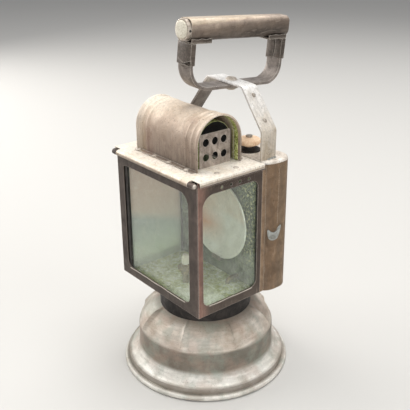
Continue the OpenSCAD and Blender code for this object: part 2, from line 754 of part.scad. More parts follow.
module tank_floor() color("#857249") {
    translate([0, 0, tank_floor_z]) linear_extrude(tank_floor_t)
        tank_outline(sheet_t + seat_gap, tank_front_y + sheet_t + seat_gap);
}

module tank_cap() color("#b0a894") {
    difference() {
        tank_top(0, tank_front_y, 0);
        tank_top(sheet_t, tank_front_y + sheet_t, 1);
        for (s = [-1, 1]) translate([s * (leg_x + strap_t / 2), strap_y, roof_z])
            cube([strap_t + 2 * seat_gap, strap_w + 4 * seat_gap, 3 * tank_edge_r], center = true);
        translate([valve_x, valve_y, cap_z]) cylinder(r = gland_r - 2 + seat_gap, h = 2 * tank_edge_r);
        translate([-filler_x, valve_y, cap_z]) cylinder(r = filler_r + 1 + seat_gap, h = 2 * tank_edge_r);
    }
    translate([valve_x, valve_y, roof_z - seat_gap]) ring(gland_r + 4.4, gland_r + 3.2, 0.8);
}

module filler_neck() color("#9a8a5c") {
    translate([-filler_x, valve_y, roof_z - 6]) difference() {
        union() {
            cylinder(r = filler_r + 1, h = 12);
            translate([0, 0, 6 + seat_gap]) cylinder(r = filler_r + 3, h = 1.2);
        }
        translate([0, 0, -1]) cylinder(r = filler_r, h = 14);
    }
}

module filler_plug() color("#9a8a5c") {
    translate([-filler_x, valve_y, roof_z]) {
        translate([0, 0, -3]) cylinder(r = filler_r - run_gap, h = 9 + free_gap);
        translate([0, 0, 6 + free_gap]) cylinder(r = filler_r + 2.2, h = 3);
        translate([0, 0, 9 + free_gap]) cylinder(r1 = filler_r + 2.2, r2 = filler_r + 1, h = 1);
    }
}

// Water valve
module valve_gland() color("#4b463c") {
    translate([valve_x, valve_y, roof_z]) difference() {
        union() {
            translate([0, 0, -8]) cylinder(r = gland_r - 2, h = 9);
            translate([0, 0, seat_gap]) cylinder(r = gland_r + 2.5, h = 1.6);
            cylinder(r = gland_r, h = gland_h - 1.2, $fn = 6);
            cylinder(r = gland_r - 2.6, h = gland_h);
        }
        translate([0, 0, -9]) cylinder(r = needle_r + run_gap, h = gland_h + 10, $fn = 32);
    }
}

module valve_seat() color("#9a8a5c") {
    translate([valve_x, valve_y, seat_z]) difference() {
        union() {
            cylinder(r = seat_r, h = seat_h);
            translate([0, -2, 3]) rotate([90, 0, 0]) cylinder(r = drip_r + 0.9, h = 5);
        }
        translate([0, 0, 5 - free_gap]) cylinder(r = needle_r + run_gap, h = seat_h, $fn = 32);
        translate([0, 0, 3]) cylinder(r = 0.7, h = seat_h, $fn = 24);
        translate([0, 0, 3]) rotate([90, 0, 0]) cylinder(r = drip_r + seat_gap, h = 12);
    }
}

module drip_tube() color("#9a8a5c") {
    start_y = valve_y - 2.5;
    translate([valve_x, 0, 0]) {
        translate([0, drip_y + drip_bend_r, drip_z]) rotate([-90, 0, 0])
            ring(drip_r, drip_r - 0.8, start_y - drip_y - drip_bend_r);
        translate([0, drip_y + drip_bend_r, drip_z - drip_bend_r]) rotate([0, -90, 0]) rotate([0, 0, 0])
            rotate_extrude(angle = -90) translate([drip_bend_r, 0]) difference() {
                circle(drip_r, $fn = 24);
                circle(drip_r - 0.8, $fn = 24);
            }
        translate([0, drip_y, drip_end_z]) ring(drip_r, drip_r - 0.8, drip_z - drip_bend_r - drip_end_z);
    }
}

module valve_needle() color("#8c8373") {
    translate([valve_x, valve_y, needle_tip_z]) cylinder(r = needle_r, h = needle_top_z - needle_tip_z + 1.6, $fn = 32);
}

module valve_knob() color("#c79a72") {
    translate([valve_x, valve_y, knob_z]) difference() {
        rotate_extrude() polygon([[0, 0], [knob_r - 3.5, 0], [knob_r - 1.5, 1.4], [knob_r - 0.4, 3], [knob_r, knob_h * 0.5],
                                  [knob_r - 0.3, knob_h * 0.72], [knob_r - 2, knob_h * 0.9], [0, knob_h]]);
        translate([0, 0, -1]) cylinder(r = needle_r + run_gap, h = knob_h + 2, $fn = 32);
    }
}

module knob_nut() color("#8c8373") {
    translate([valve_x, valve_y, knob_z + knob_h + seat_gap]) difference() {
        cylinder(r = needle_r + 1.6, h = 1.4, $fn = 6);
        translate([0, 0, -1]) cylinder(r = needle_r + run_gap, h = 4, $fn = 32);
    }
}

// Strap bracket over the tank. Its legs stand upright and its top leans back with the handle.
module lean_back() translate([0, strap_y, top_z]) rotate([-handle_tilt, 0, 0]) translate([0, -strap_y, -top_z]) children();

// The line runs down the inside of the strap from one leg to the other
top_right = [bracket_lean + bracket_top, top_z - slope_dz - strap_t];
top_left = [bracket_lean - bracket_top, top_z + slope_dz - strap_t];
right_bend = [leg_x, right_bend_z];
left_bend = [-leg_x, left_bend_z];
right_way = unit(right_bend - top_right);
left_way = unit(left_bend - top_left);
top_line = [top_right + 5 * right_way, top_right + 1.6 * right_way, top_right - [1.4, 0], top_left + [1.4, 0],
            top_left + 1.6 * left_way, top_left + 5 * left_way];
right_line = [[leg_x, tail_z], right_bend - [0, 2], right_bend - 2 * right_way, top_right + 2.5 * right_way];
left_line = [top_left + 2.5 * left_way, left_bend - 2 * left_way, left_bend - [0, 2], [-leg_x, tail_z]];

module strap(line) {
    translate([0, strap_y + strap_w / 2, 0]) rotate([90, 0, 0]) linear_extrude(strap_w) polygon(sheet(line, -strap_t));
}

module handle_bracket() color("#c9c3b8") {
    difference() {
        union() {
            lean_back() strap(top_line);
            strap(right_line);
            strap(left_line);
        }
        swivel_place() translate([0, 0, -20]) cylinder(r = swivel_r + seat_gap, h = 40, $fn = 32);
        stud_places() translate([0, 0, -6]) cylinder(r = rivet_r + seat_gap, h = 12, $fn = 24);
    }
}

// The studs stand square on the sloping legs
module on_slope(bend, top, k, turn) {
    place = bend + k * (top - bend);
    translate([place[0], strap_y, place[1]]) rotate([0, turn, 0]) translate([0, 0, strap_t]) children();
}
module stud_places() {
    for (k = [0.22, 0.8]) on_slope(right_bend, top_right, k, atan2(-right_way[1], right_way[0])) children();
    on_slope(left_bend, top_left, 0.52, atan2(left_way[1], -left_way[0])) children();
}

module bracket_studs() color("#a8a294") {
    stud_places() {
        translate([0, 0, -strap_t]) cylinder(r = rivet_r, h = strap_t + 0.2, $fn = 24);
        translate([0, 0, seat_gap]) cylinder(r1 = rivet_head_r, r2 = rivet_head_r * 0.6, h = rivet_head_h, $fn = 24);
    }
}

// Fillets of solder where the legs enter the tank, and a run of solder on the tank's right side
module strap_solder() color("#8f9aa0") {
    for (s = [0, 1]) mirror([s, 0, 0]) for (side = [0, 1])
        translate([leg_x + side * strap_t + (2 * side - 1) * seat_gap, strap_y + strap_w / 2 - 1, roof_z + seat_gap])
            rotate([90, 0, 0]) linear_extrude(strap_w - 3 - 5 * side)
                polygon([[0, 0], [(2 * side - 1) * 1.4, 0], [0, 1.8]]);
    intersection() {
        translate([0, 0, blob_z - 12]) linear_extrude(24) difference() {
            tank_outline(-1.1, tank_front_y + 1);
            tank_outline(-seat_gap, tank_front_y);
        }
        translate([half_w - 5, blob_y, blob_z]) rotate([90, 0, 90]) linear_extrude(15)
            polygon(solder_run);
    }
}

// Handle on its swivel rivet. The swivel's frame has its origin on top of the bracket. In the handle's own
// frame the grip lies along Y and the underside of the band, which passes below the bracket, is at z = 0.
module swivel_place() lean_back() translate([bracket_lean, strap_y, top_z]) rotate([0, bracket_slope, 0]) children();
module handle_place() swivel_place() translate([0, 0, band_under_w]) children();

module swivel_rivet() color("#d8d2c6") {
    swivel_place() {
        translate([0, 0, band_under_w - 2.4]) cylinder(r = swivel_r, h = 3 - band_under_w, $fn = 32);
        translate([0, 0, seat_gap]) cylinder(r1 = swivel_r + 2.2, r2 = swivel_r + 0.6, h = 1.8);
        translate([0, 0, band_under_w - 3]) cylinder(r1 = swivel_r + 0.6, r2 = swivel_r + 1.6, h = 1.2);
    }
}

module swivel_washer() color("#8c8373") {
    swivel_place() translate([0, 0, band_under_w - free_gap - 1]) ring(washer_r, swivel_r + seat_gap, 1);
}

band_line = concat(
    [[band_front, band_top]],
    arc(band_front + band_front_r, band_front_r, band_front_r, 180, 270, 10),
    arc(band_back - band_rear_r, band_rear_r, band_rear_r, 270, 360, 8),
    [[band_back, band_top]]);

module handle_band() color("#b9b1a4") {
    handle_place() difference() {
        translate([-band_w / 2, 0, 0]) rotate([90, 0, 90]) linear_extrude(band_w) polygon(sheet(band_line, band_t));
        translate([0, 0, -1]) cylinder(r = swivel_r + run_gap, h = 6, $fn = 32);
    }
}

// A sheath is a folded sleeve on one leg, with a pointed skirt outside and a saddle for the grip on top
module sheath(leg) {
    out_y = leg + seat_gap + sheath_t;
    in_y = leg - band_t - seat_gap - sheath_t;
    w = band_w + 2 * seat_gap + 2 * sheath_t;
    lip_w = (w - grip_w) / 2 - seat_gap;
    difference() {
        translate([-w / 2, in_y, sheath_w]) cube([w, out_y - in_y, saddle_z - sheath_w + 0.1]);
        translate([-w / 2 + sheath_t, in_y + sheath_t, sheath_w - 1])
            cube([w - 2 * sheath_t, out_y - in_y - 2 * sheath_t, saddle_z - sheath_w + 1]);
    }
    translate([-w / 2, out_y - flange_len, saddle_z]) cube([w, flange_len, flange_t]);
    for (x = [-w / 2, w / 2 - lip_w])
        translate([x, out_y - flange_len, saddle_z]) cube([lip_w, flange_len, flange_t + flange_lip]);
    translate([0, out_y, 0]) rotate([90, 0, 0]) linear_extrude(sheath_t)
        polygon([[-w / 2, sheath_w + 0.1], [0, sheath_w - sheath_v], [w / 2, sheath_w + 0.1]]);
}

module rear_sheath() color("#8a7e70") handle_place() sheath(band_back);
module front_sheath() color("#8a7e70") handle_place() mirror([0, 1, 0]) sheath(-band_front);

// Pieces along the grip, from its front end
module along_grip(y) translate([0, y, grip_h]) rotate([-90, 0, 0]) children();
module grip_section(inset) {
    w = grip_w - 2 * inset;
    h = grip_t - 2 * inset;
    translate([-w / 2, -h / 2]) rounded_rect(w, h, grip_edge_r - inset);
}

module grip_tube() color("#a09680") {
    handle_place() along_grip(grip_front + collar_len) difference() {
        linear_extrude(tube_len) grip_section(0);
        translate([0, 0, -1]) linear_extrude(tube_len + 1 - grip_wall) grip_section(grip_wall);
    }
}

module grip_collar() color("#b5a79a") {
    handle_place() along_grip(grip_front) difference() {
        ring(collar_r_out, dowel_r + seat_gap, collar_len - seat_gap);
        nail_hole();
    }
}

module nail_hole() translate([0, 0, collar_len * 0.55]) rotate([0, 90, 0]) cylinder(r = nail_r + seat_gap, h = 20, $fn = 24);

module grip_dowel() color("#e4d9c0") {
    handle_place() along_grip(grip_front - dowel_out) difference() {
        cylinder(r = dowel_r, h = tube_len + collar_len + dowel_out - 2);
        translate([0, 0, dowel_out]) nail_hole();
    }
}

module grip_nail() color("#4b463c") {
    handle_place() along_grip(grip_front) translate([collar_r_out - 5, 0, collar_len * 0.55]) rotate([0, 90, 0])
        cylinder(r = nail_r, h = 5.4, $fn = 24);
}

// Roof with its hinge, flue opening and rivets
module roof_rivet_places() {
    for (k = rivet_spots, s = [-1, 1])
        translate([cowl_x + k * cowl_len, cowl_y + s * (cowl_r + foot_reach - 2), roof_z + sheet_t + 2 * seat_gap])
            children();
}
module side_rivet_places() {
    for (s = [-1, 1], y = [cowl_y - 11, cowl_y + 9]) translate([s * side_rivet_x, y, roof_z + seat_gap]) children();
}

module roof_plate() color("#cfc9bd") {
    front = front_y + 0.5;
    difference() {
        union() {
            translate([-roof_half_w, front, roof_under_z]) cube([2 * roof_half_w, roof_back_y - front, sheet_t]);
            for (x = [roof_half_w - sheet_t, -roof_half_w]) translate([x, front, skirt_z])
                cube([sheet_t, roof_back_y - front, skirt_h]);
            roll(-roll_half, roll_half);
            translate([-roll_half, hinge_y, roof_z - 1.2]) cube([2 * roll_half, front - hinge_y + 0.5, 1.2]);
        }
        hinge_bore();
        translate([cowl_x - cowl_len * 0.36, cowl_y - flue_r + 4, roof_z - 5]) cube([cowl_len * 0.72, 2 * flue_r - 8, 10]);
        roof_rivet_places() translate([0, 0, -5]) cylinder(r = rivet_r + seat_gap, h = 10, $fn = 24);
        side_rivet_places() translate([0, 0, -5]) cylinder(r = rivet_r + seat_gap, h = 10, $fn = 24);
    }
}

module hinge_pin() color("#8c8373") {
    translate([-half_w - 1.6, hinge_y, hinge_z]) rotate([0, 90, 0]) {
        cylinder(r = hinge_pin_r, h = case_w + 3.2, $fn = 32);
        cylinder(r1 = hinge_pin_r, r2 = hinge_pin_r + 0.8, h = 1.2, $fn = 32);
        translate([0, 0, case_w + 2]) cylinder(r1 = hinge_pin_r + 0.8, r2 = hinge_pin_r, h = 1.2, $fn = 32);
    }
}

// An arch over the flue, in the YZ plane, standing on the roof
module arch(r, z0) {
    difference() {
        union() {
            translate([cowl_y, cowl_z]) circle(r, $fn = 96);
            translate([cowl_y - r, z0]) square([2 * r, cowl_z - z0]);
        }
        translate([cowl_y - 2 * r, z0 - 3 * r]) square([4 * r, 3 * r]);
    }
}

module arch_wall(r, t, x0, x1) {
    stand_yz(x0, x1 - x0) difference() {
        arch(r, roof_z + seat_gap);
        arch(r - t, roof_z - 1);
    }
}

module cowl_barrel() color("#cfc9bd") {
    difference() {
        union() {
            arch_wall(cowl_r, sheet_t, cowl_x0, cowl_x1);
            arch_wall(cowl_r + cowl_rim_h, cowl_rim_h + sheet_t + 0.4, cowl_x0, cowl_x0 + cowl_rim_w);
            arch_wall(cowl_r + cowl_rim_h, cowl_rim_h + sheet_t + 0.4, cowl_x1 - cowl_rim_w, cowl_x1);
            for (x = [cowl_x0 + swage_in, cowl_x1 - swage_in], s = [-swage_half, swage_half])
                arch_wall(cowl_r + 0.7, 0.8, x + s - swage_w / 2, x + s + swage_w / 2);
            for (s = [-1, 1])
                translate([cowl_x0 + cowl_rim_w, cowl_y + (s > 0 ? cowl_r - sheet_t : -cowl_r - foot_reach),
                           roof_z + seat_gap])
                    cube([cowl_len - 2 * cowl_rim_w, foot_reach + sheet_t, sheet_t]);
        }
        roof_rivet_places() translate([0, 0, -5]) cylinder(r = rivet_r + seat_gap, h = 10, $fn = 24);
    }
}

module cowl_flue() color("#8d8f5f") {
    arch_wall(flue_r, sheet_t, flue_x0, flue_x1);
}

module end_plate(x) {
    half = flue_r - 0.5;
    stand_yz(x, sheet_t) difference() {
        translate([cowl_y - half, roof_z + seat_gap]) window_shape(2 * half, end_plate_h, [0.5, 0.5, 1.5, 1.5]);
        for (i = [-1, 0, 1], j = [0, 1])
            translate([cowl_y + i * half * 0.58, roof_z + end_plate_h * (0.3 + 0.44 * j)]) circle(smoke_hole_r, $fn = 32);
    }
}
module left_end_plate() color("#8f8378") end_plate(flue_x0 - seat_gap - sheet_t);
module right_end_plate() color("#8f8378") end_plate(flue_x1 + seat_gap);

module roof_rivets() color("#b5ada0") {
    roof_rivet_places() {
        translate([0, 0, -2 * sheet_t - seat_gap]) cylinder(r = rivet_r, h = 2 * sheet_t + 0.2, $fn = 24);
        cylinder(r1 = rivet_head_r, r2 = rivet_head_r * 0.6, h = rivet_head_h, $fn = 24);
    }
    side_rivet_places() {
        translate([0, 0, -sheet_t]) cylinder(r = rivet_r, h = sheet_t + 0.1, $fn = 24);
        cylinder(r1 = rivet_head_r, r2 = rivet_head_r * 0.6, h = rivet_head_h * 0.6, $fn = 24);
    }
}

pot_shell();
foot_plate();
pot_floor();
bayonet_studs();
neck_gasket();
carbide_basket();
basket_screen();
lantern_collar();
base_plate();
front_panel();
left_panel();
right_panel();
back_panel();
front_glass();
left_glass();
right_glass();
front_channels();
side_channels();
gas_tube();
burner_holder();
burner_tip();
reflector();
reflector_bracket();
tank_shell();
tank_floor();
tank_cap();
filler_neck();
filler_plug();
valve_gland();
valve_seat();
drip_tube();
valve_needle();
valve_knob();
knob_nut();
handle_bracket();
strap_solder();
bracket_studs();
swivel_rivet();
swivel_washer();
roof_plate();
hinge_pin();
cowl_barrel();
cowl_flue();
left_end_plate();
right_end_plate();
roof_rivets();
handle_band();
front_sheath();
rear_sheath();
grip_tube();
grip_collar();
grip_dowel();
grip_nail();
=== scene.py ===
# Looks of the carbide railway lamp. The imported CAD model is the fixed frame; pieces whose finish a plain solid
# can't give are modelled again here in the same place, and every surface gets the metal, wood or glass it is made of.
import json
import math

import bpy
from mathutils import Matrix, Vector


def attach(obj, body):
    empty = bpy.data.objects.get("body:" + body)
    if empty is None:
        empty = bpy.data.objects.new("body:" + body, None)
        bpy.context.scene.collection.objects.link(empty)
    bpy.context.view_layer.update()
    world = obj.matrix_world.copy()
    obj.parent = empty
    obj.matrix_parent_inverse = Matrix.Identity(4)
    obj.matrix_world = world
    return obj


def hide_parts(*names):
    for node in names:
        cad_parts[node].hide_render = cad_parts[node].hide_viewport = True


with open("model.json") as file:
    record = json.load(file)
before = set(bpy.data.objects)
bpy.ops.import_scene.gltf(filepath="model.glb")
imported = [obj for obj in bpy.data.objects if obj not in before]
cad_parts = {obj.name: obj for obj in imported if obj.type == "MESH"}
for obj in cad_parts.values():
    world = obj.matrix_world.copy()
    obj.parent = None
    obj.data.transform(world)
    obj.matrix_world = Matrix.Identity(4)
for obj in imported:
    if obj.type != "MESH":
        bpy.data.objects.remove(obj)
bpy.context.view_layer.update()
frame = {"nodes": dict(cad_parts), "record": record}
nodes = frame["nodes"]
MM = 0.001

# Sizes of the lamp, in millimetres, as in its CAD source: the case, the cowl and the flue in it, the bracket's legs and
# strap, the valve's axis, the middle of the reflector
CASE_X = 56.25
FRONT_Y = -53.1
BACK_Y = 16.4
ROOF_Z = 206.7
COWL_Y, COWL_Z, COWL_R = -17.4, 227.0, 22.5
COWL_X0, COWL_X1 = -43.0, 41.5
FLUE_R = 16.2
LEG_X = 51.45
STRAP_Y, STRAP_W, STRAP_T = 25.6, 16.6, 2.0
TOP_Z = 265.7
LEAN = 5.8
BRACKET_TOP = 21.5
VALVE = (25.5, 28.95)
DISH_X, DISH_Y, DISH_Z = 6.0, 14.4, 142.1
# The handle's own frame: origin under the band on the swivel's axis, grip along Y
HANDLE = (Matrix.Translation((LEAN, STRAP_Y, TOP_Z)) @ Matrix.Rotation(math.radians(-4), 4, "X")
          @ Matrix.Rotation(math.radians(3), 4, "Y") @ Matrix.Translation((0, 0, -5.3)))
GRIP_Z = 48.9
SADDLE_Z = 38.65


# ---------------------------------------------------------------- camera, light and floor


def make_camera():
    """The camera where the photograph was taken from, solved from the lamp's straight edges and circles."""
    place = Vector((446.86, -362.45, 400.90)) * MM
    aim = Vector((0.21, 0.26, 155.10)) * MM
    cam = bpy.data.objects.new("camera", bpy.data.cameras.new("camera"))
    bpy.context.scene.collection.objects.link(cam)
    cam.data.sensor_width = 36
    cam.data.lens = 61.5
    cam.data.clip_start = 0.01
    cam.data.clip_end = 20
    turn = (aim - place).to_track_quat("-Z", "Y").to_matrix().to_4x4()
    cam.matrix_world = Matrix.Translation(place) @ turn @ Matrix.Rotation(math.radians(-0.48), 4, "Z")
    bpy.context.scene.camera = cam


def area_lamp(name, place, aim, size, watts, colour):
    """A soft box at a place, in metres, turned towards its aim."""
    lamp = bpy.data.objects.new(name, bpy.data.lights.new(name, "AREA"))
    bpy.context.scene.collection.objects.link(lamp)
    lamp.data.shape = "RECTANGLE"
    lamp.data.size, lamp.data.size_y = size
    lamp.data.energy = watts
    lamp.data.color = colour
    place, aim = Vector(place), Vector(aim)
    lamp.matrix_world = Matrix.Translation(place) @ (aim - place).to_track_quat("-Z", "Y").to_matrix().to_4x4()
    return lamp


# ---------------------------------------------------------------- materials


def srgb(code):
    """An sRGB hex colour as linear RGBA."""
    parts = [int(code[i : i + 2], 16) / 255 for i in (1, 3, 5)]
    return [c / 12.92 if c <= 0.04045 else ((c + 0.055) / 1.055) ** 2.4 for c in parts] + [1.0]


def new_material(name):
    """A material and the places on the lamp that its patterns read."""
    mat = bpy.data.materials.new(name)
    mat.use_nodes = True
    return mat, add(mat, "TexCoord", out="Object")


def feed(mat, socket, value):
    """Gives an input another node's output, a number, a vector or an sRGB hex colour. None leaves it as it is."""
    if isinstance(value, bpy.types.NodeSocket):
        mat.node_tree.links.new(value, socket)
    elif value is not None:
        socket.default_value = srgb(value) if isinstance(value, str) else value


def add(mat, kind, *feeds, out=None, stops=(), **settings):
    """Adds a node and gives its first output, or the one named out. Feeds go to its inputs in their order, a setting
    to the property or input of its name, and stops to its colour ramp as (position, colour) pairs."""
    node = mat.node_tree.nodes.new("ShaderNode" + kind)
    for name in [name for name in settings if hasattr(node, name)]:
        setattr(node, name, settings.pop(name))
    for socket, value in zip([socket for socket in node.inputs if socket.enabled], feeds):
        feed(mat, socket, value)
    for name, value in settings.items():
        feed(mat, node.inputs[name.replace("_", " ")], value)
    while stops and len(node.color_ramp.elements) < len(stops):
        node.color_ramp.elements.new(0.5)
    for index, (position, colour) in enumerate(stops):
        node.color_ramp.elements[index].position = position
        node.color_ramp.elements[index].color = srgb(colour) if isinstance(colour, str) else (colour,) * 3 + (1,)
    return node.outputs[out] if out else next(socket for socket in node.outputs if socket.enabled)


def coat(mat, **looks):
    """Sets inputs of the material's own surface."""
    for name, value in looks.items():
        feed(mat, mat.node_tree.nodes["Principled BSDF"].inputs[name.replace("_", " ")], value)


def lay_over(mat, colour, amount):
    """Lays a colour over the one that the material has."""
    before = mat.node_tree.nodes["Principled BSDF"].inputs["Base Color"].links[0].from_socket
    coat(mat, Base_Color=add(mat, "Mix", amount, before, colour, data_type="RGBA"))


def stain(mat, colour, over, pattern, start=0.0, full=1.0, strength=1.0):
    """A colour with another over it: not at all where the pattern is at start, and with strength where at full."""
    amount = add(mat, "MapRange", pattern, From_Min=start, From_Max=full, To_Max=strength)
    return add(mat, "Mix", amount, colour, over, data_type="RGBA")


def blotches(mat, place, size, detail=4.0, rough=0.55, stretch=(1, 1, 1), shift=(0, 0, 0), warp=0.0):
    """A cloudy pattern from 0 to 1. Its blotches are about size millimetres across, and stretch draws them out."""
    spot = add(mat, "Mapping", place, Scale=[1 / (size * MM * s) for s in stretch], Location=shift)
    return add(mat, "TexNoise", spot, Scale=1.0, Detail=detail, Roughness=rough, Distortion=warp)


def along(mat, place, axis, low, high):
    """0 at low and 1 at high along an axis of the lamp, in millimetres."""
    value = add(mat, "SeparateXYZ", place, out=axis)
    return add(mat, "MapRange", value, From_Min=low * MM, From_Max=high * MM)


def wavering(mat, value, clouds, amount):
    """A position value whose lines wander with the clouds."""
    drift = add(mat, "MapRange", clouds, To_Min=-amount / 2, To_Max=amount / 2, clamp=False)
    return add(mat, "Math", value, drift, operation="ADD")


def roughen(mat, *layers):
    """Raises the surface by (pattern, depth in millimetres) layers, one on another."""
    before = None
    for pattern, depth in layers:
        before = add(mat, "Bump", Strength=1.0, Distance=depth * MM, Height=pattern, Normal=before)
    coat(mat, Normal=before)


def evenness(mat):
    """1 on flat faces and less along sharp edges, where hands and cloths have rubbed the sheet bright."""
    rounded = add(mat, "Bevel", samples=4, Radius=0.8 * MM)
    return add(mat, "VectorMath", rounded, add(mat, "NewGeometry", out="Normal"), operation="DOT_PRODUCT")


def sheet_metal(name, light, mid, dark, shine=(0.45, 0.7), metal=0.45, streak="Z", blotch=16.0, washes=(), edge=None):
    """Old tinned sheet, rolled and soldered by hand: cloudy grey tin worn thin over a brown patina, with fine rubbing
    marks, dark specks of corrosion and a satin sheen that changes from place to place. A wash is
    (axis, low, high, stops, strength): a stain whose colour runs along an axis of the lamp."""
    mat, place = new_material(name)
    long_way = {"Y": (1, 6, 1), "Z": (1, 1, 6)}[streak]
    clouds = blotches(mat, place, blotch, 6, 0.66, warp=0.7)
    streaks = blotches(mat, place, 2.4, 4, 0.62, long_way, (3, 1, 7))
    specks = blotches(mat, place, 1.1, 2, 0.5, shift=(11, 5, 2))
    pits = blotches(mat, place, 3.6, 4, 0.7, shift=(1, 15, 4), warp=0.4)
    colour = add(mat, "ValToRGB", clouds, stops=[(0.32, dark), (0.47, mid), (0.64, light)])
    for axis, low, high, stops, strength in washes:
        where = wavering(mat, along(mat, place, axis, low, high), clouds, 0.22)
        wash = add(mat, "ValToRGB", where, stops=stops)
        wash = add(mat, "Mix", 0.65, wash, colour, data_type="RGBA", blend_type="OVERLAY")
        colour = add(mat, "Mix", strength, colour, wash, data_type="RGBA")
    colour = stain(mat, colour, dark, streaks, 0.58, 0.36, 0.4)
    colour = stain(mat, colour, light, streaks, 0.60, 0.74, 0.35)
    colour = stain(mat, colour, dark, pits, 0.60, 0.72, 0.55)
    colour = stain(mat, colour, "#3a322b", specks, 0.63, 0.72, 0.6)
    colour = stain(mat, colour, edge or light, evenness(mat), 0.985, 0.90, 0.7)
    rough = add(mat, "MapRange", clouds, From_Min=0.3, From_Max=0.7, To_Min=shine[1], To_Max=shine[0])
    coat(mat, Base_Color=colour, Roughness=rough, Metallic=metal)
    dents = blotches(mat, place, 26, 2, 0.4, shift=(2, 8, 4))
    roughen(mat, (dents, 1.0), (streaks, 0.08), (pits, 0.16), (specks, 0.08))
    return mat


def build_materials():
    """Every finish by its name. Those named after a CAD material slot serve the nodes of that slot."""
    made = {}
    # Tinned sheet rubbed clean on the upper faces: a pale warm grey, satin
    made["weathered_tin"] = sheet_metal("tinned_sheet", "#d6cec3", "#bfb5a9", "#96897b")
    # The roof: whitish oxide bloom, a little brown along the front edge, and painted shade that darkens its skirt
    # towards the lower edge
    made["roof_tin"] = sheet_metal(
        "bloomed_roof_sheet_painted_shade", "#f1eae0", "#ddd3c7", "#b5a798", (0.5, 0.7), 0.2, blotch=13, washes=[
            ("Y", -54, -38, [(0.0, "#cdc1b4"), (0.4, "#ded5ca"), (1.0, "#e6ddd1")], 0.6),
            ("Z", 202.4, 205.4, [(0.0, "#5b5047"), (0.7, "#8d8175"), (1.0, "#e6ddd1")], 0.85)])
    # The cowl: painted light, pale along its top and brightest at its left end, and painted shade, brown low on its
    # sides; moss inside its open right end
    made["cowl_tin"] = sheet_metal(
        "bloomed_cowl_sheet_painted_light", "#ded5c9", "#c9bdb0", "#a39587", (0.5, 0.7), 0.25, blotch=18, washes=[
            ("Z", 207, 251, [(0.0, "#4b3e34"), (0.28, "#67574b"), (0.52, "#8f8073"), (0.78, "#c0b4a8"),
                             (1.0, "#d9cfc4")], 0.92),
            ("X", -43, 41, [(0.0, "#f4ede3"), (0.16, "#cabfb3"), (0.5, "#aa9e91"), (1.0, "#a1958a")], 0.45)])
    moss_inside_cowl(made["cowl_tin"])
    # The end plates: brown and dull
    made["plate_tin"] = sheet_metal("dull_end_plate", "#b9ada1", "#9d9186", "#72665c", blotch=8, edge="#c9bfb3")
    # The bracket: painted light on its top, painted shade low on its legs and over the far leg, and a greyer right leg
    made["bracket_tin"] = sheet_metal(
        "bracket_strap_painted_light", "#d6d5d4", "#bdbbb9", "#918b84", (0.45, 0.65), 0.3, blotch=12, washes=[
            ("Z", 206, 268, [(0.0, "#978b7e"), (0.3, "#a3988c"), (0.7, "#c9c8c6"), (0.93, "#f0f1f2")], 0.85),
            ("X", -44, -14, [(0.0, "#4d433b"), (0.7, "#6b6056"), (1.0, "#d5cec4")], 0.85)])
    # The pot's pressed shell: the same tin, with a broader, softer sheen
    made["pot_tin"] = pot_tin()
    # The case's sheet: tin worn off, brown patina, greyer along the bottom
    made["brown_patina"] = sheet_metal(
        "brown_patinated_sheet", "#827469", "#62564e", "#423833", edge="#b9aca0", washes=[
            ("Z", 86, 104, [(0.0, "#8f8a84"), (0.5, "#7d7770"), (1.0, "#5f554d")], 0.6),
            ("X", 40, 57, [(0.0, "#554b45"), (0.7, "#5e534d"), (1.0, "#8c756d")], 0.6)])
    # The near side panel: thin copper wash under the dirt, pink beside the front corner
    made["copper_patina"] = sheet_metal(
        "coppery_patinated_sheet", "#9c8d82", "#786a60", "#50453e", edge="#c9bdb0", washes=[
            ("Y", -53, -40, [(0.0, "#cba394"), (0.4, "#b08e82"), (1.0, "#5d5148")], 0.9),
            ("Z", 86, 104, [(0.0, "#8b857c"), (1.0, "#6b6057")], 0.4)])
    # The tank: damp brown patina with orange-brown streaks, brighter along the lap beside the case
    made["olive_patina"] = sheet_metal("streaked_tank_sheet", "#cabcaa", "#a69786", "#6e6052", blotch=11, washes=[
        ("Y", BACK_Y, 26, [(0.0, "#c9bfb0"), (0.38, "#b5a896"), (0.44, "#6d5f50"), (1.0, "#8d7a63")], 0.75),
        ("Y", 27, 50, [(0.0, "#8a6f50"), (0.2, "#9d8465"), (0.35, "#7d6e5b"), (0.55, "#a68f6b"), (0.7, "#85705a"),
                       (0.92, "#cbbca8")], 0.6),
        ("Z", 86, 112, [(0.0, "#9c9184"), (1.0, "#86735f")], 0.3)])
    # The tank's cap: the roof's whitish bloom again, without its brown edge
    made["cap_tin"] = sheet_metal("bloomed_cap_sheet", "#ebe4da", "#d5cbbf", "#a99c8d", (0.5, 0.7), 0.2, blotch=10)
    # Handle sheet: painted shade darkening the grip's underside and the saddles under it, painted light brightening the
    # grip's top, and edges rubbed bright
    made["handle_metal"] = sheet_metal(
        "handle_sheet_painted_light", "#bcae9f", "#a4978a", "#81756a", (0.42, 0.6), 0.45, "Y", 14, edge="#d5ccc0", washes=[
            ("Z", 304, 320, [(0.0, "#352e29"), (0.45, "#7c7066"), (0.8, "#d6cbbf"), (1.0, "#e0d6ca")], 0.9)])
    # The handle's band: greyer and browner towards its ends, its edges rubbed bright
    made["band_metal"] = sheet_metal(
        "handled_band", "#b8afa7", "#968d86", "#6a625b", (0.42, 0.6), 0.45, "Y", 12, edge="#dcd5cb", washes=[
            ("Z", 262, 300, [(0.0, "#8e8781"), (0.3, "#8a827b"), (0.8, "#5f544a")], 0.6)])
    # The grip's front collar: brighter tin, rubbed by the hand
    made["grip_collar_tin"] = sheet_metal("rubbed_tin_collar", "#d6ccbf", "#b5a99c", "#8a7d70", streak="Y", blotch=7)
    # Small fittings of plain steel, dull and even
    made["dull_steel"] = sheet_metal("dull_steel", "#b5aca0", "#968c80", "#6b6258", (0.4, 0.6), 0.6, "Z", 5)
    # Blackened iron: nearly no colour, faint satin edge light
    made["black_iron"] = sheet_metal("blackened_iron", "#37302b", "#221d1a", "#141110", (0.55, 0.75), 0.2, "Z", 9)
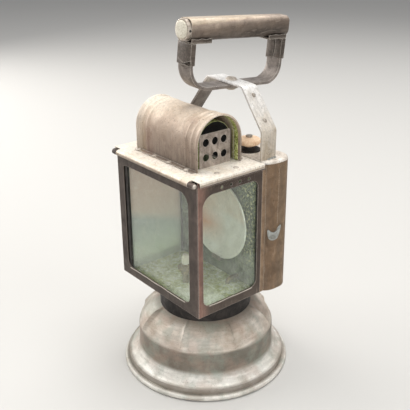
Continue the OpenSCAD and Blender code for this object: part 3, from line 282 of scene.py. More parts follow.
    # Moss and verdigris where damp stays: matt green crust over brown metal
    made["mossy_metal"] = mossy("mossy_sheet", "#878b4f", "#c3c69a", "#6d6c4c")
    # The flue gets painted shade, black inside it
    made["flue_metal"] = mossy("mossy_flue_painted_shade", "#8b9052", "#cdd0a6", "#6a6b48", painted_shade_inside=True)
    made["floor_moss"] = mossy("mossy_lantern_floor", "#bcc27c", "#f2f4e4", "#8e9058")
    lime_on_floor(made["floor_moss"])
    made["back_metal"] = mossy("damp_back_panel", "#4d5743", "#7b826d", "#353c32")
    moss_flecks(made["back_metal"])
    # Brass gone brown-green, dull all over
    made["aged_brass"] = sheet_metal("aged_brass", "#a08f63", "#7d6d47", "#574b33", (0.45, 0.65), 0.6, "Z", 7)
    made["reflector_metal"] = reflector_metal()
    # Lead solder: blue-grey, soft shine, lumpy
    made["lead_solder"] = sheet_metal("lead_solder", "#b4b6b2", "#95968f", "#716f68", (0.4, 0.6), 0.5, "Z", 4)
    # Rubber gone hard and crazed: matt near-black
    made["black_rubber"] = even_stuff("perished_rubber", "#1f1e1d", "#2f2d2b", 0.85, 3, 0.15)
    # The burner's fired steatite: chalky cream, quite matt
    made["steatite"] = even_stuff("steatite", "#dcd5c6", "#c4bba8", 0.7, 2, 0.03)
    # Beech of the knob, warm and yellow-pink; lime wood of the dowel, pale and grey
    made["knob_wood"] = wood("turned_beech", "#ffe6c6", "#ecc29b", 0.55, "Z")
    made["pale_wood"] = wood("lime_wood", "#d8d2c2", "#b9b09c", 0.7, "Y")
    made["pane_glass"] = dusty_pane()
    # The far pane: a nearly opaque film that carries a painted reflection of the backdrop
    made["far_pane_glass"] = far_pane_painted_reflection()
    return made


def pot_tin():
    """Pressed tinned shell of the pot: cream-grey on the shoulder, brown where damp rose up the drum wall, a pale lime
    bloom on the flange, green and pink tints here and there, painted shade on its left side, on the near right of the
    drum wall and under the case, all under a soft satin sheen."""
    mat, place = new_material("pressed_tin_pot")
    clouds = blotches(mat, place, 22, 5, 0.6, warp=0.5)
    rings = blotches(mat, place, 2.0, 3, 0.6, (8, 8, 1), (1, 2, 3))
    specks = blotches(mat, place, 1.0, 2, 0.5, shift=(4, 9, 1))
    cream = add(mat, "ValToRGB", clouds, stops=[(0.32, "#b5a898"), (0.5, "#cfc4b6"), (0.68, "#ddd4c8")])
    brown = add(mat, "ValToRGB", clouds, stops=[(0.3, "#6b6055"), (0.5, "#81766a"), (0.7, "#958c80")])
    bloom = add(mat, "ValToRGB", clouds, stops=[(0.3, "#cbc8be"), (0.5, "#dfdbd1"), (0.7, "#ebe8e0")])
    wall = add(mat, "ValToRGB", along(mat, place, "Z", 15, 44),
               stops=[(0.0, 0.0), (0.12, 1.0), (0.80, 1.0), (0.90, 0.0)])
    colour = stain(mat, cream, brown, wall)
    colour = stain(mat, colour, bloom, along(mat, place, "Z", 20.8, 17.2))
    # Painted shade: greyer and darker towards the left, away from the light
    colour = stain(mat, colour, "#8b887e", along(mat, place, "X", 5, -62), strength=0.8)
    # Painted shade on the drum wall's near right side
    shaded_near_wall = add(mat, "Math", along(mat, place, "X", 18, 60), wall, operation="MULTIPLY")
    colour = stain(mat, colour, "#6f7267", shaded_near_wall, strength=0.4)
    # Painted shade under the case: darker on the shoulder's top and the neck
    colour = stain(mat, colour, "#5d5248", along(mat, place, "Z", 54, 60.4), strength=0.75)
    colour = stain(mat, colour, "#8f978a", blotches(mat, place, 17, 4, 0.6, shift=(8, 2, 5)), 0.48, 0.6, 0.45)
    colour = stain(mat, colour, "#a98d7c", blotches(mat, place, 21, 4, 0.6, shift=(1, 7, 3)), 0.46, 0.6, 0.35)
    groove = add(mat, "ValToRGB", along(mat, place, "Z", 0, 20),
                 stops=[(0.22, 0.0), (0.26, 1.0), (0.5, 1.0), (0.56, 0.0)])
    colour = stain(mat, colour, "#75695c", groove, strength=0.75)
    colour = stain(mat, colour, "#75695c", rings, 0.6, 0.40, 0.22)
    colour = stain(mat, colour, "#4f463c", specks, 0.64, 0.72, 0.5)
    rough = add(mat, "MapRange", clouds, From_Min=0.3, From_Max=0.7, To_Min=0.68, To_Max=0.5)
    coat(mat, Base_Color=colour, Roughness=rough, Metallic=0.25)
    dents = blotches(mat, place, 30, 2, 0.4, shift=(5, 1, 8))
    roughen(mat, (dents, 1.1), (rings, 0.06), (specks, 0.06))
    return mat


def within_cowl(mat, place, radius):
    """1 nearer than a radius to the cowl's axis, or to the upright plane below it, and 0 outside."""
    centred = add(mat, "Mapping", place, Location=(0, -COWL_Y * MM, -COWL_Z * MM))
    up = add(mat, "Math", add(mat, "SeparateXYZ", centred, out="Z"), 0.0, operation="MAXIMUM")
    across = add(mat, "CombineXYZ", 0.0, add(mat, "SeparateXYZ", centred, out="Y"), up)
    out = add(mat, "VectorMath", across, operation="LENGTH")
    return add(mat, "Math", out, radius * MM, operation="LESS_THAN")


def moss_inside_cowl(mat):
    """Moss on the inner face of the cowl, behind the right end plate, where rain drives in."""
    place = add(mat, "TexCoord", out="Object")
    grains = blotches(mat, place, 1.6, 4, 0.7, shift=(6, 3, 9))
    moss = add(mat, "ValToRGB", grains,
               stops=[(0.34, "#3f3f22"), (0.46, "#8d9448"), (0.58, "#c9cd86"), (0.68, "#e7e8cf")])
    inside = within_cowl(mat, place, COWL_R - 0.4)
    lay_over(mat, moss, add(mat, "Math", inside, along(mat, place, "X", 30, 34), operation="MULTIPLY"))


def lime_on_floor(mat):
    """Dried lime on the lantern's floor, thickest beside the near front corner."""
    place = add(mat, "TexCoord", out="Object")
    corner = add(mat, "Math", along(mat, place, "X", -5, 38), along(mat, place, "Y", -8, -42), operation="MULTIPLY")
    corner = add(mat, "MapRange", corner, From_Min=0.05, From_Max=0.45)
    patches = blotches(mat, place, 7, 5, 0.7, shift=(2, 9, 4))
    broken = add(mat, "MapRange", patches, From_Min=0.36, From_Max=0.56, To_Min=0.35)
    lay_over(mat, "#f4f5ec", add(mat, "Math", corner, broken, operation="MULTIPLY"))


def moss_flecks(mat):
    """Yellow moss in grains on the back of the case, thickest beside the reflector's right edge."""
    place = add(mat, "TexCoord", out="Object")
    where = add(mat, "Math", along(mat, place, "X", 22, 40), along(mat, place, "Z", 96, 122), operation="MULTIPLY")
    where = add(mat, "Math", where, along(mat, place, "X", 56, 40), operation="MULTIPLY")
    grains = blotches(mat, place, 2.6, 4, 0.7, shift=(4, 4, 1))
    grains = add(mat, "MapRange", grains, From_Min=0.52, From_Max=0.60, To_Max=0.8)
    lay_over(mat, "#e6dfa6", add(mat, "Math", where, grains, operation="MULTIPLY"))


def mossy(name, green, pale, metal, painted_shade_inside=False):
    """Sheet under moss and lime: grainy matt crust, pale where it has dried. The flue is painted black inside, as
    painted shade.
    """
    mat, place = new_material(name)
    clumps = blotches(mat, place, 6, 5, 0.7, warp=0.8)
    grains = blotches(mat, place, 1.5, 3, 0.7, shift=(6, 3, 9))
    colour = add(mat, "ValToRGB", clumps, stops=[(0.34, metal), (0.46, green), (0.62, pale)])
    colour = stain(mat, colour, "#59602f", grains, 0.45, 0.62, 0.6)
    colour = stain(mat, colour, pale, grains, 0.38, 0.26, 0.5)
    # Painted shade: black all through inside the flue's radius
    if painted_shade_inside:
        colour = stain(mat, colour, "#14110e", within_cowl(mat, place, FLUE_R))
    coat(mat, Base_Color=colour, Roughness=0.85, Metallic=0.05)
    roughen(mat, (clumps, 0.5), (grains, 0.35))
    return mat


def reflector_metal():
    """Spun, once polished dish: silvery haze with a painted reflection, warmer above a wavering line and greyer below,
    a coppery patch at its left, a bright rim, fine rings and dull spots."""
    mat, place = new_material("tarnished_spun_dish_painted_reflection")
    haze = blotches(mat, place, 12, 4, 0.6)
    specks = blotches(mat, place, 2.2, 4, 0.7, shift=(5, 1, 2))
    centred = add(mat, "Mapping", place, Location=(-DISH_X * MM, 0, -DISH_Z * MM))
    face_on = add(mat, "VectorMath", centred, (1, 0, 1), operation="MULTIPLY")
    out = add(mat, "VectorMath", face_on, operation="LENGTH")
    rings = add(mat, "TexNoise", noise_dimensions="1D", W=out, Scale=900.0, Detail=2.0)
    # Painted reflection: warm beige above a wavering line, grey below
    upper = add(mat, "ValToRGB", haze, stops=[(0.3, "#e2d3c4"), (0.5, "#f0e3d6"), (0.7, "#f8f0e6")])
    lower = add(mat, "ValToRGB", haze, stops=[(0.3, "#dedbd2"), (0.5, "#f0ece4"), (0.7, "#f8f5f0")])
    colour = stain(mat, lower, upper, wavering(mat, along(mat, place, "Z", 143, 152), haze, 0.5), 0.2, 0.8)
    middle = add(mat, "ValToRGB", along(mat, place, "Z", 108, 160), stops=[(0.1, 0.0), (0.45, 1.0), (0.8, 0.3)])
    copper = add(mat, "Math", along(mat, place, "X", 13.6, -17.2), middle, operation="MULTIPLY")
    colour = stain(mat, colour, "#e59f7a", copper, strength=0.9)
    rim = add(mat, "Math", out, 36.4 * MM, operation="GREATER_THAN")
    colour = stain(mat, colour, "#f2efe6", rim, strength=0.7)
    colour = stain(mat, colour, "#6d7050", specks, 0.6, 0.7, 0.6)
    coat(mat, Base_Color=colour, Roughness=0.45, Metallic=0.2)
    roughen(mat, (haze, 0.3), (rings, 0.03), (specks, 0.1))
    return mat


def even_stuff(name, one, two, rough, size, depth):
    """One matt stuff all through, faintly spotted."""
    mat, place = new_material(name)
    spots = blotches(mat, place, size, 4, 0.6)
    colour = add(mat, "ValToRGB", spots, stops=[(0.35, one), (0.65, two)])
    coat(mat, Base_Color=colour, Roughness=rough, Metallic=0.0)
    roughen(mat, (spots, depth))
    return mat


def wood(name, pale, dark, rough, grain_axis):
    """Turned wood: fine grain lines along the piece, darkened by hands."""
    mat, place = new_material(name)
    grain = blotches(mat, place, 1.1, 4, 0.6, {"Y": (1, 12, 1), "Z": (1, 1, 6)}[grain_axis])
    wear = blotches(mat, place, 8, 3, 0.5, shift=(2, 2, 2))
    colour = add(mat, "ValToRGB", grain, stops=[(0.36, dark), (0.58, pale)])
    coat(mat, Base_Color=stain(mat, colour, dark, wear, 0.6, 0.4, 0.3), Roughness=rough)
    roughen(mat, (grain, 0.12))
    return mat


def clear_glass(name):
    """Old drawn window glass: a little green, with the slow waves of its drawing."""
    mat, place = new_material(name)
    coat(mat, Base_Color="#edf3ec", Roughness=0.03, IOR=1.5, Transmission_Weight=1.0)
    roughen(mat, (blotches(mat, place, 40, 1, 0.4), 0.2))
    return mat, place


def lay_film(mat, film, amount):
    """Lays a matt film over clear glass, which lets the lamps' light into the lantern."""
    surface = mat.node_tree.nodes["Principled BSDF"].outputs[0]
    clear = add(mat, "BsdfTransparent", Color="#f4f8f3")
    glass = add(mat, "MixShader", add(mat, "LightPath", out="Is Shadow Ray"), surface, clear)
    feed(mat, mat.node_tree.nodes["Material Output"].inputs["Surface"], add(mat, "MixShader", amount, glass, film))


def dusty_pane():
    """The near panes: lime and dust in patches, more of it low down, where the pale film also stands in as painted
    light for the lit floor behind.
    """
    mat, place = clear_glass("old_window_glass")
    dust = add(mat, "BsdfPrincipled", Base_Color="#d3d6c9", Roughness=0.9)
    patches = blotches(mat, place, 9, 5, 0.7, shift=(7, 7, 7))
    patches = add(mat, "MapRange", patches, From_Min=0.35, From_Max=0.7, To_Min=0.03, To_Max=0.27)
    # Thicker film low down: dust, and painted light for the lit floor seen through
    low_down = add(mat, "MapRange", along(mat, place, "Z", 130, 90), To_Min=0.3)
    lay_film(mat, dust, add(mat, "Math", patches, low_down, operation="MULTIPLY"))
    return mat


def far_pane_painted_reflection():
    """The pane away from the light: a nearly opaque film with a painted reflection of the backdrop, pinkish beige above
    a line and grey-green below.
    """
    mat, place = clear_glass("far_window_glass_painted_reflection")
    clouds = blotches(mat, place, 8, 5, 0.65, shift=(3, 9, 2))
    upper = add(mat, "ValToRGB", along(mat, place, "Z", 130, 195),
                stops=[(0.0, "#c1b5a9"), (0.5, "#c0aa9c"), (1.0, "#b89f90")])
    lower = add(mat, "ValToRGB", along(mat, place, "Z", 92, 130),
                stops=[(0.0, "#b9c3ad"), (0.6, "#aab3a8"), (1.0, "#9fa7a1")])
    # The line between the painted reflection's beige and grey-green falls by about a third towards the back
    level = add(mat, "Math", add(mat, "SeparateXYZ", place, out="Y"), 0.337,
                add(mat, "SeparateXYZ", place, out="Z"), operation="MULTIPLY_ADD")
    colour = stain(mat, lower, upper, level, 122 * MM, 130 * MM)
    colour = stain(mat, colour, "#c3bfae", clouds, 0.5, 0.7, 0.35)
    film = add(mat, "MixShader", 0.55, add(mat, "BsdfDiffuse", Color=colour),
               add(mat, "BsdfTranslucent", Color=colour))
    amount = add(mat, "MapRange", clouds, From_Min=0.3, From_Max=0.7, To_Min=0.82, To_Max=0.95)
    lay_film(mat, film, amount)
    return mat


# ---------------------------------------------------------------- ways of working


def select_none():
    if bpy.context.mode != "OBJECT":
        bpy.ops.object.mode_set(mode="OBJECT")
    bpy.ops.object.select_all(action="DESELECT")


def take(obj):
    """Selects one piece and nothing else."""
    select_none()
    obj.select_set(True)
    bpy.context.view_layer.objects.active = obj


def modifier(obj, kind, **settings):
    """Adds a modifier, which stays live."""
    mod = obj.modifiers.new(kind.lower(), kind)
    for key, value in settings.items():
        setattr(mod, key, value)
    return mod


def worked(obj, kind, **settings):
    """Adds a modifier and applies it."""
    take(obj)
    bpy.ops.object.modifier_apply(modifier=modifier(obj, kind, **settings).name)


def thicken(obj, thickness, side=0):
    """Gives a sheet its thickness in millimetres, along its normals with side 1, against them with -1 or both ways."""
    worked(obj, "SOLIDIFY", thickness=thickness * MM, offset=side)


def break_edges(obj, width, segments=2, angle=50):
    """Rounds every edge that turns by more than an angle, by a width in millimetres."""
    worked(obj, "BEVEL", width=width * MM, segments=segments, limit_method="ANGLE", angle_limit=math.radians(angle))


def smooth(obj, angle=35):
    """Shades a piece smooth but for edges that turn by more than an angle."""
    take(obj)
    bpy.ops.object.shade_smooth_by_angle(angle=math.radians(angle))


def in_place(obj):
    """Puts the object at the origin, with its place in its mesh."""
    take(obj)
    bpy.ops.object.transform_apply(location=True, rotation=True, scale=True)


def mend(obj):
    """Merges doubles and turns all faces outwards."""
    take(obj)
    bpy.ops.object.mode_set(mode="EDIT")
    bpy.ops.mesh.select_all(action="SELECT")
    bpy.ops.mesh.remove_doubles(threshold=0.01 * MM)
    bpy.ops.mesh.normals_make_consistent(inside=False)
    bpy.ops.object.mode_set(mode="OBJECT")


def draw_line(name, points, closed=False):
    """A line of edges through points in millimetres, drawn by extruding one vertex."""
    select_none()
    bpy.ops.mesh.primitive_plane_add(size=MM, location=(0, 0, 0))
    obj = bpy.context.active_object
    obj.name = obj.data.name = name
    bpy.ops.object.mode_set(mode="EDIT")
    bpy.ops.mesh.select_all(action="SELECT")
    bpy.ops.mesh.merge(type="CENTER")
    points = [Vector(p) * MM for p in points]
    bpy.ops.transform.translate(value=points[0])
    for a, b in zip(points, points[1:]):
        bpy.ops.mesh.extrude_vertices_move(TRANSFORM_OT_translate={"value": b - a})
    if closed:
        bpy.ops.mesh.extrude_vertices_move(TRANSFORM_OT_translate={"value": points[0] - points[-1]})
        bpy.ops.mesh.select_all(action="SELECT")
        bpy.ops.mesh.remove_doubles(threshold=0.01 * MM)
    bpy.ops.object.mode_set(mode="OBJECT")
    return obj


def pull(obj, way, stations=(0, 1)):
    """Extrudes the whole line sideways into a sheet, along a way in millimetres and with an edge at each station, a
    multiple of that way. The last edge stays selected."""
    take(obj)
    bpy.ops.object.mode_set(mode="EDIT")
    bpy.ops.mesh.select_all(action="SELECT")
    for a, b in zip(stations, stations[1:]):
        bpy.ops.mesh.extrude_region_move(TRANSFORM_OT_translate={"value": Vector(way) * (b - a) * MM})
    bpy.ops.object.mode_set(mode="OBJECT")


def spun(name, profile, centre, axis, steps=96, closed=False):
    """A line of (radius, height) points turned about an axis through centre."""
    axis = Vector(axis).normalized()
    side = axis.orthogonal().normalized() if abs(axis.z) < 0.99 else Vector((1, 0, 0))
    centre = Vector(centre)
    obj = draw_line(name, [centre + side * r + axis * h for r, h in profile], closed)
    take(obj)
    bpy.ops.object.mode_set(mode="EDIT")
    bpy.ops.mesh.select_all(action="SELECT")
    bpy.ops.mesh.spin(steps=steps, angle=2 * math.pi, center=centre * MM, axis=axis)
    bpy.ops.object.mode_set(mode="OBJECT")
    mend(obj)
    return obj


def arc(cx, cy, r, a0, a1, n):
    """The points of an arc from angle a0 to angle a1, in degrees, in n steps."""
    return [(cx + r * math.cos(math.radians(a0 + (a1 - a0) * i / n)),
             cy + r * math.sin(math.radians(a0 + (a1 - a0) * i / n))) for i in range(n + 1)]


def rounded_bends(points, radius, n=6):
    """An open 2D line with its inner corners rounded."""
    line = [points[0]]
    for before, at, after in zip(points, points[1:], points[2:]):
        p, q, s = Vector(before), Vector(at), Vector(after)
        a, b = (p - q).normalized(), (s - q).normalized()
        half = a.angle(b) / 2
        cut = min(radius / math.tan(half), 0.49 * (p - q).length, 0.49 * (s - q).length)
        r = cut * math.tan(half)
        middle = q + (a + b).normalized() * (r / math.sin(half))
        start, end = q + a * cut - middle, q + b * cut - middle
        turn = start.angle_signed(end)
        for i in range(n + 1):
            t = -turn * i / n
            line.append((middle.x + start.x * math.cos(t) - start.y * math.sin(t),
                         middle.y + start.x * math.sin(t) + start.y * math.cos(t)))
    line.append(points[-1])
    return line


def divided(line, length):
    """A 2D line with points added along its long stretches, about a length apart."""
    points = []
    for a, b in zip(line, line[1:]):
        steps = max(1, int(math.dist(a, b) / length))
        points += [(a[0] + (b[0] - a[0]) * i / steps, a[1] + (b[1] - a[1]) * i / steps) for i in range(steps)]
    return points + [line[-1]]


def finish_piece(obj, body, slot, material, *replaced):
    """Gives a piece its material, its moving body and the CAD nodes that it stands in for. The slot is not used."""
    in_place(obj)
    obj.data.materials.clear()
    obj.data.materials.append(material)
    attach(obj, body)
    if replaced:
        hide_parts(*replaced)
    return obj


def twin(obj, name):
    """A copy of a piece with its own mesh."""
    other = obj.copy()
    other.data = obj.data.copy()
    other.name = other.data.name = name
    bpy.context.scene.collection.objects.link(other)
    return other


def join(name, *parts):
    """Makes several parts one object."""
    select_none()
    for p in parts:
        p.select_set(True)
    bpy.context.view_layer.objects.active = parts[0]
    bpy.ops.object.join()
    parts[0].name = parts[0].data.name = name
    return parts[0]


def move_points(obj, rule):
    """Moves every vertex by a rule that gets and returns millimetres."""
    for v in obj.data.vertices:
        v.co = Vector(rule(v.co / MM)) * MM
    obj.data.update()


# ---------------------------------------------------------------- gas pot


def shoulder_curve():
    """The (radius, height) points of the shoulder: one arc from the top of the drum wall to the neck."""
    low, high, radius = Vector((62.1, 41.6)), Vector((43.1, 60.0)), 43.0
    run = high - low
    deep = math.sqrt(radius**2 - run.length_squared / 4)
    centre = (low + high) / 2 + Vector((-run.y, run.x)).normalized() * deep
    a0 = math.degrees(math.atan2(low.y - centre.y, low.x - centre.x))
    a1 = math.degrees(math.atan2(high.y - centre.y, high.x - centre.x))
    return arc(centre.x, centre.y, radius, a0, a1, 22)


def pot_shell(mats):
    """The pressed shell: rolled foot edge, hollow flange, drum wall and ribbed shoulder."""
    flange = [(73.4 - 5.6 * i / 10, 10.4 + 3.1 * (i / 10) ** 1.6) for i in range(11)]
    bead = arc(75.5, 2.45, 2.45, -60, 150, 14)
    ribs = [-15 + 45 * k for k in range(8)]
    profile = [(74.2, 1.2), (76.7, 0.35)] + bead[1:] + [(73.9, 5.6), (74.1, 7.5), (74.0, 9.4)] + flange
    profile += [(66.4, 15.0), (65.0, 16.9), (63.8, 18.6), (63.2, 20.6), (63.2, 26), (63.2, 32), (63.2, 37.6),
                (63.0, 39.3), (62.8, 40.4)]
    profile += shoulder_curve() + [(41.4, 60.9), (40.7, 61.6), (40.7, 66), (40.7, 80)]
    shell = spun("pot_shell_pressed", profile, (0, 0, 0), (0, 0, 1), 240)
    wall_foot, wall_top, shoulder_top, rib_rise = 20, 39.5, 60.6, 2.6

    def press(p):
        r, a = math.hypot(p.x, p.y), math.degrees(math.atan2(p.y, p.x))
        if wall_top < p.z < shoulder_top and r > 42:
            near = min(abs((a - rib + 180) % 360 - 180) for rib in ribs)
            climb = (p.z - wall_top) / 21
            fade = min(1, climb / 0.16) * min(1, (1 - climb) / 0.2)
            width = 2.0 - 0.6 * climb
            rise = rib_rise * math.exp(-((near * math.pi / 180 * r / width) ** 2)) * fade
            edge = 0.95 * math.exp(-(((p.z - 41.5) / 3.2) ** 2)) * (math.cos(math.radians((a + 15) * 8)) - 0.2)
            grow = (rise + edge) / math.sqrt(2)
            return (p.x * (1 + grow / r), p.y * (1 + grow / r), p.z + 0.6 * rise)
        if wall_foot < p.z <= wall_top:
            dent = 0.35 * math.sin(math.radians(3 * a + 40)) + 0.25 * math.sin(math.radians(7 * a))
            return (p.x * (1 + dent * 0.5 / r), p.y * (1 + dent * 0.5 / r), p.z)
        return p

    move_points(shell, press)
    thicken(shell, 0.9, -1)
    smooth(shell, 50)
    return finish_piece(shell, "pot", "weathered_tin", mats["pot_tin"], "pot_shell")


# ---------------------------------------------------------------- handle and bracket


def bracket_strap(mats):
    """The bent strap: legs let into the tank, sloping shoulders and a flat top that leans back with the handle."""
    slope = BRACKET_TOP * math.tan(math.radians(3))
    inner = [(LEG_X, 180.8), (LEG_X, 230.7), (LEAN + BRACKET_TOP, TOP_Z - slope - STRAP_T),
             (LEAN - BRACKET_TOP, TOP_Z + slope - STRAP_T), (-LEG_X, 220.7), (-LEG_X, 180.8)]
    line = divided(rounded_bends(inner, 4.5), 6)
    strap = draw_line("bracket_strap", [(x, STRAP_Y - STRAP_W / 2, z) for x, z in line])
    pull(strap, (0, STRAP_W, 0), (0, 0.25, 0.5, 0.75, 1))

    def shape(p):
        lean = max(0.0, min(1.0, (p.z - 250) / 12))
        hollow = 0.25 * math.sin(p.z / 5.0 + p.x / 9.0) if p.z > 210 else 0.0
        return (p.x + hollow * 0.4, p.y, p.z - lean * (p.y - STRAP_Y) * math.tan(math.radians(4)))

    move_points(strap, shape)
    mend(strap)
    thicken(strap, STRAP_T - 0.05, 1 if faces_out(strap, (0, STRAP_Y, 200)) else -1)
    break_edges(strap, 0.4)
    smooth(strap, 40)
    return finish_piece(strap, "lantern", "weathered_tin", mats["bracket_tin"], "handle_bracket")


def on_handle(obj):
    """Takes a piece drawn in the handle's own frame, in millimetres, to its place on the lamp."""
    move_points(obj, lambda p: HANDLE @ p)
    return obj


def bent_sheet(name, line, width, thick, out=1, across=4, bevel=0.3):
    """A strip that follows a (y, z) line, as wide as width in x, thickened to one side and with its edges broken."""
    strip = draw_line(name, [(-width / 2, y, z) for y, z in divided(line, 5)])
    pull(strip, (width, 0, 0), [i / across for i in range(across + 1)])
    thicken(strip, thick, out)
    if bevel:
        break_edges(strip, bevel)
    mend(strip)
    smooth(strip, 40)
    return strip


def handle_band(mats):
    """The band: one bent strip, rubbed along its edges, that passes under the bracket."""
    line = [(-52, 38.5)] + arc(-31, 21, 21, 180, 270, 16) + arc(34, 16, 16, 270, 360, 14) + [(50, 38.5)]
    line = [(y, z + 0.25 * math.sin(y / 9) if z < 1 else z) for y, z in line]
    band = bent_sheet("handle_band_bent", line, 16, 3.0, -1, 4, 0.5)
    on_handle(band)
    return finish_piece(band, "handle", "handle_metal", mats["band_metal"], "handle_band")


def grip_sheath(mats, end):
    """A folded sleeve round one leg of the band: open seam inside, pointed lap outside, and a saddle under the grip
    with a thin lip up each side of it."""
    s, outside, inside = (-1, 52.85, 48.15) if end == "front" else (1, 50.85, 46.15)
    lap_y, seam = s * (outside - 0.4), s * inside
    sleeve = draw_line("grip_sheath_" + end, [(x, y, 21.5) for x, y in (
        (-0.9, seam), (-8.85, seam), (-8.85, s * outside), (8.85, s * outside), (8.85, seam), (0.9, seam))])
    pull(sleeve, (0, 0, 1), (0, 6, 12, 17.1))

    def ragged(p):
        if abs(p.x) < 1.5 and abs(p.y - seam) < 0.5:
            return (p.x + 0.5 * math.sin(p.z * 1.9), p.y - s * 0.5 * (1 + math.sin(p.z * 1.3)), p.z)
        low = -1.6 if p.x < 0 and abs(p.y - seam) < 0.5 and p.z < 22 else 0.0
        return (p.x, p.y, p.z + low)

    move_points(sleeve, ragged)
    mend(sleeve)
    thicken(sleeve, 0.75, -1)
    break_edges(sleeve, 0.5, 3, 60)
    lap = draw_line("lap", [(-8.85, lap_y, 22.0), (0, lap_y, 18.6), (8.85, lap_y, 22.0)])
    pull(lap, (0, 0, 4))
    thicken(lap, 0.8, 0)
    break_edges(lap, 0.2)
    far = outside - 20.5
    saddle = [(s * outside, SADDLE_Z + 0.7), (s * (far + 0.8), SADDLE_Z + 0.7), (s * far, SADDLE_Z + 0.4)]
    plate = bent_sheet("plate", saddle, 17.5, 1.2, 0, 2)
    lips = []
    for side in (-1, 1):
        spots = [outside - 20.5 * i / 10 for i in range(11)]
        lip = draw_line("lip", [(side * 8.55, s * y, SADDLE_Z + 0.6) for y in spots])
        pull(lip, (0, 0, 3.2))
        move_points(lip, lambda p: (p.x, p.y, p.z + (0.35 * math.sin(p.y * 0.7) if p.z > SADDLE_Z + 2 else 0)))
        thicken(lip, 0.6, 0)
        break_edges(lip, 0.2)
        lips.append(lip)
    sheath = join("grip_sheath_" + end, sleeve, lap, plate, *lips)
    smooth(sheath, 40)
    on_handle(sheath)
    return finish_piece(sheath, "handle", "handle_metal", mats["handle_metal"], end + "_sheath")


def grip_outline(grow):
    """The grip's section: a rounded square whose upper sheet laps over the lower one on both sides."""
    points = []
    for cx, cz, a0 in ((1, -1, -90), (1, 1, 0), (-1, 1, 90), (-1, -1, 180)):
        points += [(cx * 2.0 + (6.2 + grow) * math.cos(math.radians(a0 + t)),
                    cz * 2.6 + (6.2 + grow) * math.sin(math.radians(a0 + t))) for t in range(0, 91, 10)]
    line = []
    for x, z in points:
        angle = math.degrees(math.atan2(z, x))
        over = 1.0 + (0.045 if 28 < angle < 160 else 0.0)
        line.append((x * over, GRIP_Z + min(z * over, 8.72)))
    return line


def grip(mats):
    """The tubular grip: folded sheet with a closed rear end, a separate collar in front and the dowel's worn end."""
    stations = [-53.2, -52.7, -48, -40, -30, -20, -10, 0, 10, 20, 30, 40, 48, 52.6, 53.4, 53.9, 54.2]
    outline = grip_outline(0.0)
    tube = draw_line("grip_tube_folded", [(x, stations[0], z) for x, z in outline], closed=True)
    pull(tube, (0, 1, 0), stations)
    bpy.ops.object.mode_set(mode="EDIT")
    bpy.ops.mesh.edge_face_add()
    bpy.ops.object.mode_set(mode="OBJECT")
    shrink = {53.4: 0.985, 53.9: 0.955, 54.2: 0.90}

    def shape(p):
        k = shrink.get(round(p.y, 1), 1.0)
        k *= 1 + 0.006 * math.sin(p.y / 6.5) * math.sin(p.z / 3)
        return (p.x * k, p.y, GRIP_Z + (p.z - GRIP_Z) * k)

    move_points(tube, shape)
    mend(tube)
    thicken(tube, 0.6, -1)
    smooth(tube, 32)
    on_handle(tube)
    finish_piece(tube, "handle", "handle_metal", mats["handle_metal"], "grip_tube")
    centre = (0, 0, GRIP_Z)
    collar = spun("grip_collar_rolled", [(7.3, -53.3), (8.3, -53.3), (8.5, -53.7), (8.45, -55.0), (8.5, -56.3),
                                         (8.3, -56.75), (7.8, -56.9), (7.35, -56.7)], centre, (0, 1, 0), 64, True)
    smooth(collar, 50)
    on_handle(collar)
    finish_piece(collar, "handle", "handle_metal", mats["grip_collar_tin"], "grip_collar")
    dowel = spun("grip_dowel_turned", [(0.001, -58.3), (3.0, -58.4), (5.8, -58.25), (6.8, -57.8), (7.15, -57.1),
                                       (7.2, -50), (7.2, 50), (0.001, 50)], centre, (0, 1, 0), 48)
    smooth(dowel, 40)
    on_handle(dowel)
    finish_piece(dowel, "handle", "pale_wood", mats["pale_wood"], "grip_dowel")


# ---------------------------------------------------------------- lid, valve, lantern


